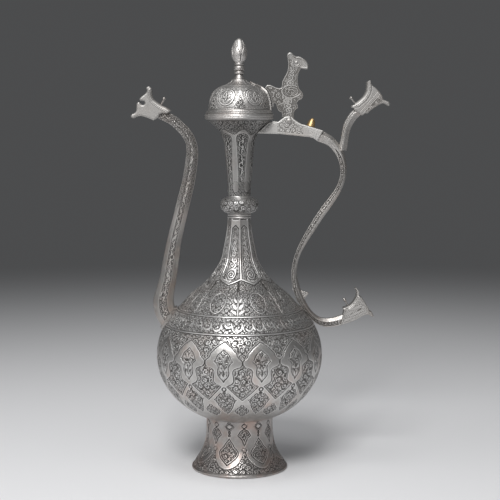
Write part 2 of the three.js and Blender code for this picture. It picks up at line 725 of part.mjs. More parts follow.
function handleSpur() {
  const foot = handleCurve.getPoint(spurFootShare);
  const along = handleCurve.getTangent(spurFootShare).setY(0).normalize();
  const place = (u, v) => new THREE.Vector2(
    foot.x + along.x * u * spurLength - along.z * v * spurWidth,
    foot.z + along.z * u * spurLength + along.x * v * spurWidth,
  );
  return solid(plate(outline(spurShares, place), spurThickness)).subtract(handleSolid(fitGap));
}

// Dragon heads: each is placed by the end of the bar or tube that it is set on
const spoutPlace = (x, z) => new THREE.Vector2(-spoutReach * x, spoutFootHeight + spoutRise * z);
const spoutCurve = widthCurve(spoutShares, spoutPlace, spoutWidth);
const octagonShares = Array.from({ length: neckSides }, (_, i) => {
  const angle = ((i + 0.5) * 2 * Math.PI) / neckSides;
  return [Math.cos(angle), Math.sin(angle)].map((c) => (0.5 * c) / Math.cos(Math.PI / neckSides));
});
const spoutSolid = (options) => solid(swept(
  spoutCurve, octagonShares, (width) => width, spoutSteps, options,
));

function headPlace(curve, facing, socket, drop, length, height) {
  const end = curve.getPoint(1);
  return (u, v) => new THREE.Vector2(
    end.x + facing * (u * length - socket),
    end.z - drop + v * height,
  );
}

const spoutHeadPlace = headPlace(
  spoutCurve, -1, spoutHeadSocket, spoutHeadDrop, spoutHeadLength, spoutHeadHeight,
);
const upperHeadPlace = headPlace(
  branchCurve, 1, upperHeadSocket, upperHeadDrop, upperHeadLength, upperHeadHeight,
);
const lowerHeadPlace = headPlace(
  handleCurve, 1, lowerHeadSocket, lowerHeadDrop, lowerHeadLength, lowerHeadHeight,
);

// The line of one brow pin: where its foot ends in the head, and which way it stands
function browPinLine(place, share, lean, side, facing) {
  const at = place(...share);
  const up = new THREE.Vector3(lean[0] * facing, side * browPinSplayShare, lean[1]).normalize();
  const foot = new THREE.Vector3(at.x, side * browPinSpread, at.y).addScaledVector(up, -browPinDepth);
  return { foot, up };
}

function head(shares, place, socket, pins) {
  const drilled = pins.map(({ foot, up }) => solid(rod(
    foot.clone().addScaledVector(up, -fitGap),
    foot.clone().addScaledVector(up, browPinLength),
    browPinRadius + fitGap,
  )));
  const blank = solid(plate(outline(shares, place), headWidth)).subtract(socket);
  return drilled.reduce((body, hole) => body.subtract(hole), blank);
}

function browPin(name, { foot, up }) {
  const ball = browPinDepth + browPinLength;
  const turns = browPinTurnShares.map((turn) => [
    browPinBall * Math.cos(turn * Math.PI),
    ball + browPinBall * Math.sin(turn * Math.PI),
  ]);
  const turnings = [
    [0, 0], [browPinRadius, 0], [browPinRadius, ball - browPinBall], ...turns, [0, ball + browPinBall],
  ].map(([r, z]) => new THREE.Vector2(r, z));
  const mesh = meshOf(name, turned(turnings, pinSegments), castMetal);
  mesh.position.copy(foot);
  mesh.quaternion.setFromUnitVectors(new THREE.Vector3(0, 0, 1), up);
  return mesh;
}

function browPins(place, share, lean, facing) {
  return [-1, 1].map((side) => browPinLine(place, share, lean, side, facing));
}

const spoutPins = browPins(spoutHeadPlace, spoutPinShare, spoutPinLean, -1);
const upperPins = browPins(upperHeadPlace, upperPinShare, upperPinLean, 1);
const lowerPins = browPins(lowerHeadPlace, lowerPinShare, lowerPinLean, 1);

function spoutHead() {
  const throat = new THREE.Shape(throatShares.map(([u, v]) => spoutHeadPlace(u, v)));
  return head(spoutHeadShares, spoutHeadPlace, spoutSolid({ grow: fitGap }), spoutPins)
    .subtract(solid(plate(throat, headWidth - 2 * headWall)));
}

// The hole through the shoulder that the spout's elbow opens into
function spoutHole() {
  const along = spoutCurve.getTangent(0).setY(0).normalize();
  const start = spoutCurve.getPoint(0).setY(0);
  const middle = spoutCurve.getPoint(1 / (spoutShares.length - 1)).setY(0);
  const reach = middle.distanceTo(start) + cutOverrun;
  const [from, to] = [-reach, reach].map((past) => middle.clone().addScaledVector(along, past));
  return solid(rod(from, to, spoutHoleRadius, smallSegments));
}

function spoutTube() {
  return spoutSolid({})
    .subtract(spoutSolid({ grow: -spoutWall, extend: cutOverrun }))
    .subtract(vesselEnvelope(fitGap));
}

function spoutCollar() {
  return spoutSolid({ grow: fitGap + spoutCollarWidth })
    .subtract(spoutSolid({ grow: fitGap, extend: cutOverrun }))
    .intersect(vesselEnvelope(fitGap + spoutCollarLength))
    .subtract(vesselEnvelope(fitGap));
}

// Assembly: the origin is under the middle of the span from the spout head to the upper head
const spoutTip = spoutHeadPlace(1, 0).x;
const handleTip = upperHeadPlace(1, 0).x;

const ewerBody = new THREE.Group();
ewerBody.add(
  meshOf('foot_rim', footRim(), tinnedCopper),
  meshOf('foot', foot(), tinnedCopper),
  meshOf('bowl', turned(sheetProfile(bowlOutside(), vesselWall)), tinnedCopper),
  meshOf('shoulder', shoulder(), tinnedCopper),
  meshOf('lower_neck', lowerNeck(), tinnedCopper),
  meshOf('neck_collar', neckCollar(), tinnedCopper),
  meshOf('neck_knop', neckKnop(), tinnedCopper),
  meshOf('upper_neck', upperNeck(), tinnedCopper),
  meshOf('mouth_funnel', mouthFunnel(), tinnedCopper),
  meshOf('mouth_rim', mouthRim(), tinnedCopper),
  meshOf('spout_tube', spoutTube(), castMetal),
  meshOf('spout_collar', spoutCollar(), castMetal),
  meshOf('spout_head', spoutHead(), castMetal),
  ...spoutPins.map((line, i) => browPin(`spout_head_pin_${i + 1}`, line)),
);

const handle = new THREE.Group();
handle.add(
  meshOf('hinge_bracket', bracket(), castMetal),
  meshOf('hinge_pin', hingePin(), castMetal),
  meshOf('handle_bar', handleBar(), castMetal),
  meshOf('handle_branch', handleBranch(), castMetal),
  meshOf('handle_spur', handleSpur(), castMetal),
  meshOf('upper_head', head(upperHeadShares, upperHeadPlace, branchSolid(fitGap), upperPins), castMetal),
  meshOf('lower_head', head(lowerHeadShares, lowerHeadPlace, handleSolid(fitGap), lowerPins), castMetal),
  ...upperPins.map((line, i) => browPin(`upper_head_pin_${i + 1}`, line)),
  ...lowerPins.map((line, i) => browPin(`lower_head_pin_${i + 1}`, line)),
);

const bud = meshOf('stop_bud', stopBud(), brass);
const budSeat = stopBudSeat();
bud.position.copy(budSeat.at);
bud.quaternion.setFromUnitVectors(new THREE.Vector3(0, 0, 1), budSeat.up);
handle.add(bud);

const lid = new THREE.Group();
lid.add(
  meshOf('lid_bezel', lidBezel(), tinnedCopper),
  meshOf('lid_flange', lidFlange(), tinnedCopper),
  meshOf('lid_dome', lidDome(), tinnedCopper),
  meshOf('lid_strap', lidStrap(), castMetal),
  meshOf('bird_thumbpiece', bird(), castMetal),
  meshOf('finial_stem', finialStem(), tinnedCopper),
  meshOf('finial_washer', finialWasher(), tinnedCopper),
  meshOf('finial_bud', finialBud(), tinnedCopper),
);

const ewer = new THREE.Group();
ewer.add(ewerBody, handle, lid);
ewer.position.x = -(spoutTip + handleTip) / 2;

export default ewer;
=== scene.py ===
# %% [markdown]
# # An engraved ewer of tinned copper
#
# The ewer stands about 43 cm high. Its body is raised from copper sheet, tinned, and engraved nearly all over,
# and the grounds of the engraving are filled with black. The spout, the handle, the bird on the lid and the
# dragon heads are cast and chased. This file dresses the packed model, which is the fixed frame, piece by piece:
# each piece that shows is made again here as a fine surface that lies on the packed solid, carries its
# ornament and moves with the same body.

# %% Load the frame
import math
from functools import reduce

import bpy
import bmesh
import numpy as np
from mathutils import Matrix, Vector


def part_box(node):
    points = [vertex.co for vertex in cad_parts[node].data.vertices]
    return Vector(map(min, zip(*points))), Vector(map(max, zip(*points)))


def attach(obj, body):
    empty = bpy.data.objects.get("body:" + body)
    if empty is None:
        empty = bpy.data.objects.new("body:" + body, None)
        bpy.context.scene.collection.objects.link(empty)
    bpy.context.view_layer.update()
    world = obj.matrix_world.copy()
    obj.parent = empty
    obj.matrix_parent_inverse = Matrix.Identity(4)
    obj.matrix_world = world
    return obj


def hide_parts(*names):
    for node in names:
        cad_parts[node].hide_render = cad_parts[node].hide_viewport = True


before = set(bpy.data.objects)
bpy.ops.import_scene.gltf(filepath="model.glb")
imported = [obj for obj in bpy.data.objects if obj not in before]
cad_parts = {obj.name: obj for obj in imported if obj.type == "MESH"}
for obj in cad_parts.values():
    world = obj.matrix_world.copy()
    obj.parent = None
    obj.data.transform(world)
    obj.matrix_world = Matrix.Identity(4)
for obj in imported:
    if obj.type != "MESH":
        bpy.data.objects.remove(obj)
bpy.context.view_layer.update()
low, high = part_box("bowl")
AXIS = (low[0] + high[0]) / 2 * 1000
print("nodes", len(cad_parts), "axis of the vessel at x =", round(AXIS, 3), "mm")

# %% [markdown]
# ## Camera
#
# The photograph was taken from the front, level with the mouth, with the camera turned a little down. A camera
# can be placed by eye or worked out. Here it was worked out from the ellipses of the foot, the band and the
# mouth, because the amount of each ellipse that shows fixes the height of the eye.

# %% Place the camera
camera_data = bpy.data.cameras.new("photo_camera")
camera_data.lens = 92.59
camera_data.sensor_width = 36
camera_data.clip_end = 20
camera = bpy.data.objects.new("photo_camera", camera_data)
camera.location = ((AXIS + 10.6) / 1000, -1.275, 0.35215)
camera.rotation_euler = (math.radians(90 - 5.905), 0, 0)
bpy.context.scene.collection.objects.link(camera)
bpy.context.scene.camera = camera
print("camera", round(-camera.location.y, 3), "m away and", round(camera.location.z, 3), "m up")

# %% [markdown]
# ## Lines and sheets
#
# Nearly all the forms here are one of two kinds: a profile turned about an axis, or a section carried along a
# bent line. Both need a smooth line through a few measured points. A cubic through the points, with each slope
# taken from its neighbours, keeps to the points and needs no handles, so it is used for every profile.

# % Small numeric tools


def most(*fields):
    """The largest of several fields at every point."""
    return reduce(np.maximum, fields)


def least(*fields):
    """The smallest of several fields at every point."""
    return reduce(np.minimum, fields)


def unit(way):
    """A direction made one long."""
    return way / np.linalg.norm(way)


def length_along(points):
    """The distance along a line to each of its points."""
    return np.r_[0, np.cumsum(np.linalg.norm(np.diff(points, axis=0), axis=1))]


def smooth_line(points, count):
    """count points, evenly spaced, on a smooth line through the given ones. Between two points the line is the
    cubic with their places and slopes, where a slope is the rate of change over the two neighbours."""
    p = np.asarray(points, float)
    t = length_along(p)
    slope = np.gradient(p, t, axis=0)
    u = np.linspace(0, t[-1], count * 8)
    k = np.clip(np.searchsorted(t, u, side="right") - 1, 0, len(t) - 2)
    span = (t[k + 1] - t[k])[:, None]
    f = (u - t[k])[:, None] / span
    q = ((2 * f**3 - 3 * f**2 + 1) * p[k] + (f**3 - 2 * f**2 + f) * span * slope[k]
         + (3 * f**2 - 2 * f**3) * p[k + 1] + (f**3 - f**2) * span * slope[k + 1])
    return evenly(q, count)


def evenly(points, count):
    """The same line with count points at even distances."""
    length = length_along(points)
    at = np.linspace(0, length[-1], count)
    return np.stack([np.interp(at, length, column) for column in points.T], axis=1)


def step(x, start, end):
    """0 before start, 1 after end, and an S-shaped rise between."""
    t = np.clip((x - start) / (end - start), 0, 1)
    return t * t * (3 - 2 * t)


def wrapped(x, period):
    """x brought to within half a period of zero."""
    return (x + period / 2) % period - period / 2


def chance(i, j):
    """A number from 0 to 1 that looks random but is fixed by the two cell numbers."""
    return (np.sin(i * 12.9898 + j * 78.233) * 43758.5453) % 1


def profile(shares, base, height, inner, outer, count=None):
    """(radius, height) points from height and radius shares, as the packed part has them. With a count they
    become a smooth line of so many points."""
    points = np.array([[inner + (outer - inner) * out, base + height * up] for up, out in shares])
    return smooth_line(points, count) if count else points


# %% [markdown]
# ## Putting a surface into a mesh
#
# A surface is worked out as an array of points and an array of four-cornered faces. foreach_set copies both
# into the mesh at once. The signed volume under the faces tells whether they point outwards, and they are
# turned over if not. Values that the materials need, such as the depth of the engraving, ride along as
# attributes of the points.

# %% Make a piece from arrays
def outward(points, quads):
    """The faces with their corners in the order that makes the enclosed volume positive."""
    a, b, c, d = (points[quads[:, k]] for k in range(4))
    volume = np.einsum("ij,ij->i", a, np.cross(b, c) + np.cross(c, d)).sum()
    return quads if volume > 0 else quads[:, ::-1]


def ring_faces(lower, upper):
    """Faces between two stacks of rings of point numbers, each ring closed on itself."""
    return np.stack([lower, np.roll(lower, -1, axis=1), np.roll(upper, -1, axis=1), upper], axis=-1).reshape(-1, 4)


def net_corners(net, quads):
    """The net at the corners of the faces. A face over the seam has its low corners moved on by one round."""
    corners = net.reshape(-1, 3)[quads]
    count = corners[..., 2]
    torn = np.ptp(corners[..., 0], axis=1, keepdims=True) > count / 2
    corners[..., 0] += np.where(torn & (corners[..., 0] < 0), count, 0)
    return corners


def make_piece(name, points, quads, fields, metal, body, node, poles=False):
    """A piece of the given points, in millimetres, and faces, riding on a body in place of a packed node."""
    quads = outward(points - points.mean(axis=0), quads)
    mesh = bpy.data.meshes.new(name)
    mesh.vertices.add(len(points))
    mesh.vertices.foreach_set("co", (points / 1000).astype(np.float32).ravel())
    mesh.loops.add(quads.size)
    mesh.loops.foreach_set("vertex_index", quads.astype(np.int32).ravel())
    mesh.polygons.add(len(quads))
    mesh.polygons.foreach_set("loop_start", np.arange(0, quads.size, 4, dtype=np.int32))
    mesh.update(calc_edges=True)
    for key, values in {"fill": np.full(len(points), -1.0), **fields}.items():
        if key == "net":
            layer = mesh.attributes.new(key, "FLOAT_VECTOR", "CORNER")
            layer.data.foreach_set("vector", net_corners(values, quads).astype(np.float32).ravel())
        else:
            layer = mesh.attributes.new(key, "FLOAT", "POINT")
            layer.data.foreach_set("value", np.asarray(values, np.float32).ravel())
    if poles:
        work = bmesh.new()
        work.from_mesh(mesh)
        bmesh.ops.remove_doubles(work, verts=work.verts, dist=1e-6)
        work.to_mesh(mesh)
        work.free()
    mesh.validate()
    mesh.polygons.foreach_set("use_smooth", np.full(len(mesh.polygons), True))
    mesh.set_sharp_from_angle(angle=math.radians(42))
    mesh.materials.append(metals[metal])
    piece = bpy.data.objects.new(name, mesh)
    bpy.context.scene.collection.objects.link(piece)
    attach(piece, body)
    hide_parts(node)
    print(f"{name}: {sum(len(p.vertices) - 2 for p in mesh.polygons)} triangles")
    return piece


# %% [markdown]
# ## Turned sheet
#
# A raised vessel is round because it was hammered and turned. The surface is a profile of (radius, height)
# points carried round the axis. The outer skin has many rows, so that the engraving can be sunk into it for
# real, and the inner skin few. A relief function gets angle, distance along the profile, radius and height as
# whole arrays, and returns how far the surface is lifted, with the values for the material.

# %% Turn a profile
def normals_of(line):
    """Unit normals of a (radius, height) line, to the outside when the line runs upwards."""
    run = np.gradient(line, axis=0)
    side = np.stack([run[:, 1], -run[:, 0]], axis=1)
    return side / np.linalg.norm(side, axis=1)[:, None]


def inner_skin(outside, wall, rows=14, level=(True, True)):
    """The inside of a sheet: the outside moved in by the wall, from its last point back to its first. A level
    end stays at its height."""
    inside = outside - normals_of(outside) * wall
    for end, keep in zip((0, -1), level):
        if keep:
            inside[end, 1] = outside[end, 1]
    return evenly(inside, rows)[::-1]


def upright(local):
    """From the turning axis to the ewer's own place."""
    return local + np.array([AXIS, 0, 0])


REST = {"motif": 2.0, "fill": -1.0, "net": 1.0}  # what an inner skin carries: plain metal


def turned(name, outside, inside, columns, metal, node, body="ewer", relief=None, place=upright, bend=None):
    """A profile turned about an axis: the point (r, z) at angle a goes to (r sin a, -r cos a, z). bend gives a
    factor on the radius for every angle and height, where the form isn't round."""
    outside, inside = np.asarray(outside, float), np.asarray(inside, float).reshape(-1, 2)
    angle = np.arange(columns) / columns * 2 * np.pi
    side = normals_of(outside)
    A, S = np.meshgrid(angle, length_along(outside))
    R, Z = (np.repeat(outside[:, k:k + 1], columns, axis=1) for k in (0, 1))
    found = relief(A, S, R, Z) if relief else {"lift": 0 * A, "motif": 0 * A + 2}
    lift = found.pop("lift")
    r = np.concatenate([R + side[:, :1] * lift, np.repeat(inside[:, :1], columns, axis=1)])
    z = np.concatenate([Z + side[:, 1:] * lift, np.repeat(inside[:, 1:], columns, axis=1)])
    if bend:
        r = r * bend(np.concatenate([A, np.repeat(A[:1], len(inside), axis=0)]), z)
    fields = {key: np.concatenate([value, np.full((len(inside), *value.shape[1:]), REST[key])])
              for key, value in found.items()}
    points = place(np.stack([r * np.sin(angle), -r * np.cos(angle), z], axis=-1).reshape(-1, 3))
    grid = np.arange(r.size).reshape(r.shape)
    on_axis = np.abs(r[[0, -1]]).max() < 1e-6
    quads = ring_faces(grid[:-1], grid[1:]) if on_axis else ring_faces(grid, np.roll(grid, -1, axis=0))
    return make_piece(name, points, quads, fields, metal, body, node, bool((np.abs(r) < 1e-6).any()))


# %% [markdown]
# ## Worn tin, as a shader group
#
# Tin on copper is a warm grey that never looks even: it is cloudy where it was wiped on, dull where it
# tarnished, scratched by scouring, and pinkish where the copper comes through. Noise at three sizes gives the
# clouds, the mottling and the scratches. It is a group, because the sheet and the cast parts share it with
# other values. It reads Object coordinates, so nothing stretches at a seam.

# %% Helpers for nodes
def join(value, socket):
    """Link a wire or a socket to an input, or type a plain value into it."""
    value = getattr(value, "socket", value)
    if isinstance(value, bpy.types.NodeSocket):
        socket.id_data.links.new(value, socket)
    else:
        socket.default_value = value


def put(tree, kind, inputs=None, **settings):
    """A node of that kind, with its settings and its inputs."""
    made = tree.nodes.new(kind)
    for key, value in settings.items():
        setattr(made, key, value)
    for key, value in (inputs or {}).items():
        join(value, made.inputs[key])
    return made


def operation(name, swapped=False):
    """A method that puts down the Math or Vector Math node of that name."""
    def found(self, *others):
        values = (*others, self) if swapped else (self, *others)
        kind = "ShaderNodeVectorMath" if self.vector else "ShaderNodeMath"
        made = put(self.tree, kind, dict(enumerate(values)), operation=name)
        return Wire(made.outputs[1 if name == "LENGTH" else 0])
    return found


class Wire:
    """A number or vector on its way between nodes. Each sum, product or limit of wires is one node."""
    __add__, __sub__, __mul__, __truediv__ = map(operation, ("ADD", "SUBTRACT", "MULTIPLY", "DIVIDE"))
    __rsub__, __abs__ = operation("SUBTRACT", True), operation("ABSOLUTE")
    most, least, wrap, floor = map(operation, ("MAXIMUM", "MINIMUM", "WRAP", "FLOOR"))
    cos, angle, length = map(operation, ("COSINE", "ARCTAN2", "LENGTH"))

    def __init__(self, socket):
        self.socket, self.tree, self.vector = socket, socket.id_data, socket.type in ("VECTOR", "RGBA")

    def ramp(self, start, end, low=0.0, high=1.0):
        """A smooth change from low to high as the number goes from start to end."""
        ends = {"Value": self, "From Min": start, "From Max": end, "To Min": low, "To Max": high}
        return Wire(put(self.tree, "ShaderNodeMapRange", ends, interpolation_type="SMOOTHSTEP").outputs[0])

    def parts(self):
        """x, y and z of a vector."""
        return [Wire(socket) for socket in put(self.tree, "ShaderNodeSeparateXYZ", {0: self}).outputs]


def wires(node):
    """The outputs of a node, by name."""
    return {socket.name: Wire(socket) for socket in node.outputs}


def blend_of(share, first, second):
    """Two colours mixed by a share."""
    return Wire(put(share.tree, "ShaderNodeMix", {0: share, 6: first, 7: second}, data_type="RGBA").outputs[2])


def noise_of(vector, scale, detail=3.0, roughness=0.55):
    return Wire(put(vector.tree, "ShaderNodeTexNoise", {"Vector": vector, "Scale": scale, "Detail": detail,
                                                        "Roughness": roughness}).outputs[0])


def new_group(name, inputs, outputs):
    """An empty shader group with named sockets, with its inputs as wires and the sockets of its result."""
    tree = bpy.data.node_groups.new(name, "ShaderNodeTree")
    for label, kind, value in inputs:
        tree.interface.new_socket(label, in_out="INPUT", socket_type=kind).default_value = value
    for label, kind in outputs:
        tree.interface.new_socket(label, in_out="OUTPUT", socket_type=kind)
    return tree, wires(tree.nodes.new("NodeGroupInput")), tree.nodes.new("NodeGroupOutput").inputs


print("a wire can:", *(key for key in vars(Wire) if not key.startswith("_")))

# %% The tin group
COLOR, FLOAT, VECTOR = "NodeSocketColor", "NodeSocketFloat", "NodeSocketVector"
FULL_TURN = 2 * math.pi

tin_group, given, result = new_group(
    "worn_tin",
    [("Vector", VECTOR, (0, 0, 0)), ("Tin", COLOR, (0.4, 0.39, 0.37, 1)), ("Tarnish", COLOR, (0.2, 0.18, 0.16, 1)),
     ("Copper", COLOR, (0.42, 0.26, 0.18, 1)), ("Copper Amount", FLOAT, 0.2), ("Base Roughness", FLOAT, 0.33)],
    [("Color", COLOR), ("Roughness", FLOAT), ("Height", FLOAT)])
spot = given["Vector"]
clouds, mottle, grain = noise_of(spot, 24, 5, 0.6), noise_of(spot, 150, 6, 0.65), noise_of(spot, 900, 3, 0.6)
combed = Wire(put(tin_group, "ShaderNodeMapping", {"Vector": spot, "Rotation": (0.5, 0.3, 0.9),
                                                   "Scale": (1, 14, 14)}).outputs[0])
scratch = noise_of(combed, 110, 4, 0.7).ramp(0.55, 0.68)
dull = (clouds * 0.6 + mottle * 0.4).ramp(0.42, 0.66)
warm = noise_of(spot, 38, 4, 0.6).ramp(0.44, 0.7) * given["Copper Amount"]
toned = blend_of(warm, blend_of(dull * 0.55, given["Tin"], given["Tarnish"]), given["Copper"])
join(blend_of(scratch * 0.18, toned, (0.75, 0.74, 0.72, 1)), result["Color"])
join(given["Base Roughness"] + dull * 0.16 - scratch * 0.06, result["Roughness"])
join(mottle * 0.6 + grain * 0.25 - scratch * 0.25, result["Height"])
print("group worn_tin:", len(tin_group.nodes), "nodes")

# %% [markdown]
# ## Curling leaves, as a shader group
#
# The grounds are filled with curling stems and small leaves, hundreds of them. They could be cut into the mesh,
# but a stem is finer than its faces are. So the mesh only carries a net of cells, with two numbers that say
# where in the net a point lies, and the group draws one figure in every cell: a spiral with petals along its
# outside, turned and shifted by chance, and a three-lobed leaf where four cells meet. The third number of the
# net is how many cells close the ring, so that the last one meets the first.

# %% The group of curling leaves
leaf_group, given, result = new_group(
    "curling_leaves", [("Net", VECTOR, (0, 0, 1)), ("Vector", VECTOR, (0, 0, 0))], [("Distance", FLOAT)])


def one_cell(place, count, shift, loose):
    """The place measured from the middle of its cell, as x, y and radius, and three chances of that cell."""
    corner = (place + (shift, shift, 0)).floor()
    x, y, _ = corner.parts()
    name = put(place.tree, "ShaderNodeCombineXYZ", {"X": x.wrap(count, 0.0), "Y": y, "Z": 7.3 * shift}).outputs[0]
    luck = wires(put(place.tree, "ShaderNodeTexWhiteNoise", {"Vector": name}, noise_dimensions="3D"))["Color"]
    aside = 0.5 - shift - loose / 2
    flat = (place - (corner + luck * (loose, loose, 0)) - (aside, aside, 0)) * (1, 1, 0)
    x, y, _ = flat.parts()
    return x, y, flat.length(), *luck.parts()


count = given["Net"].parts()[2]
drift = wires(put(leaf_group, "ShaderNodeTexNoise", {"Vector": given["Vector"], "Scale": 70.0,
                                                      "Detail": 1.0}))["Color"]
place = given["Net"] + (drift - (0.5, 0.5, 0.5)) * (0.9, 0.9, 0)
x, y, radius, one, two, three = one_cell(place, count, 0.0, 0.16)
turns = (y * three.ramp(0.499, 0.501, -1.0, 1.0)).angle(x) / FULL_TURN + one
off = (radius - turns * 0.3).wrap(0.15, -0.15)
petal = (turns * (7 * FULL_TURN)).cos() * off.ramp(0.0, 0.04, 0.0, 0.045)
stem = (petal + 0.07 - abs(off)).most(0.09 - radius).least(two.ramp(0.0, 1.0, 0.38, 0.5) - radius)
x, y, radius, one = one_cell(place, count, 0.5, 0.2)[:4]
spin = y.angle(x) + one * FULL_TURN
leaf = (spin * 3.0).cos() * 0.1 + spin.cos() * 0.05 + 0.18 - radius
found = leaf.most(stem.least(-0.06 - leaf))
join(found.most(0.03 - abs(found + 0.13)) * 6.5, result["Distance"])
print("group curling_leaves:", len(leaf_group.nodes), "nodes")

# %% [markdown]
# ## Engraving, as a shader group
#
# The engraver cuts the ground away with a graver and a punch and fills it with a black paste, so that the
# pattern stands bright in it. The surfaces carry two distances in millimetres. Motif is the distance to the edge
# of the drawn lines, above zero in the metal and below it in the ground. Fill is the distance into the fields
# that curling leaves fill. A distance stays sharp between the points of the mesh where a painted mask would
# blur, so the group finds the edge from it. A little noise makes the edge waver as a hand-cut one does, and
# small punch marks liven the ground.

# %% The engraving group
cut_group, given, result = new_group(
    "engraving",
    [("Vector", VECTOR, (0, 0, 0)), ("Motif", FLOAT, 2.0), ("Fill", FLOAT, -1.0), ("Leaves", FLOAT, 0.0),
     ("Softness", FLOAT, 0.2)],
    [("Ground", FLOAT), ("Edge Highlight", FLOAT), ("Height", FLOAT)])
waver = (noise_of(given["Vector"], 420, 3) - 0.5) * 0.3
from_edge = given["Motif"].most(given["Leaves"].least(given["Fill"])) + waver
metal = from_edge.ramp(given["Softness"] * -1.0, given["Softness"])
punch = wires(put(cut_group, "ShaderNodeTexVoronoi", {"Vector": given["Vector"], "Scale": 800.0}))["Distance"]
dots = punch.ramp(0.42, 0.2)
ground = 1.0 - metal
join(ground * (1.0 - dots * 0.4), result["Ground"])
# Edge Highlight is a painted highlight: a band just inside the metal along every cut, where the tin's colour is
# lightened.
join(from_edge.ramp(-0.1, 0.3) * from_edge.ramp(0.9, 0.4), result["Edge Highlight"])
join(metal + dots * ground * 0.35, result["Height"])
print("group engraving:", len(cut_group.nodes), "nodes")

# %% [markdown]
# ## The metals
#
# The tinned sheet is grey and warm low down, where the copper shows through. The funnel and the foot get darker
# copies of it, which is painted shade for where they lie in shade. The cast parts are warmer, the sawn plates are
# duller, because the chasing roughened them, and the bud is bare brass. All are one recipe: the tin group for the
# metal, the engraving group for what is cut into it, and one shader. The black fill isn't a metal, so Metallic falls
# in it.

# %% Write the recipe of a metal
def metal_finish(name, tin, tarnish, copper, copper_low, copper_high, roughness, fill, metallic, worn=0.5):
    """A metal, with engraving unless its name says plain. The copper shows by copper_low at the foot and by
    copper_high at the top. worn is the strength of the small dents."""
    material = bpy.data.materials.new(name)
    material.use_nodes = True
    tree = material.node_tree
    where = wires(put(tree, "ShaderNodeTexCoord"))["Object"]
    skin = wires(put(tree, "ShaderNodeGroup", {
        "Vector": where, "Tin": (*tin, 1), "Tarnish": (*tarnish, 1), "Copper": (*copper, 1),
        "Copper Amount": where.parts()[2].ramp(0.02, 0.3, copper_low, copper_high), "Base Roughness": roughness,
    }, node_tree=tin_group))
    marks = {"Vector": where}
    if not name.startswith("plain"):
        motif, filled, net = (put(tree, "ShaderNodeAttribute", attribute_name=key)
                              for key in ("motif", "fill", "net"))
        leaves = wires(put(tree, "ShaderNodeGroup", {"Net": net.outputs["Vector"], "Vector": where},
                           node_tree=leaf_group))
        marks.update({"Motif": motif.outputs["Fac"], "Fill": filled.outputs["Fac"], "Leaves": leaves["Distance"]})
    cut = wires(put(tree, "ShaderNodeGroup", marks, node_tree=cut_group))
    # Painted highlight: the tin is lightened towards white along the edges of the cuts.
    bright = blend_of(cut["Edge Highlight"] * 0.45, skin["Color"], (*(min(1, c * 1.8) for c in tin), 1))
    fine = put(tree, "ShaderNodeBump", {"Height": skin["Height"], "Strength": worn, "Distance": 0.0003})
    deep = put(tree, "ShaderNodeBump", {"Height": cut["Height"], "Strength": 0.85, "Distance": 0.0004,
                                        "Normal": fine.outputs["Normal"]})
    shader = tree.nodes["Principled BSDF"].inputs
    join(blend_of(cut["Ground"], bright, (*fill, 1)), shader["Base Color"])
    join(skin["Roughness"] + cut["Ground"] * 0.3, shader["Roughness"])
    join(cut["Ground"].ramp(0.2, 1.0, metallic, 0.35), shader["Metallic"])
    join(deep.outputs["Normal"], shader["Normal"])
    return material


print("a metal uses the groups", tin_group.name, leaf_group.name, cut_group.name)

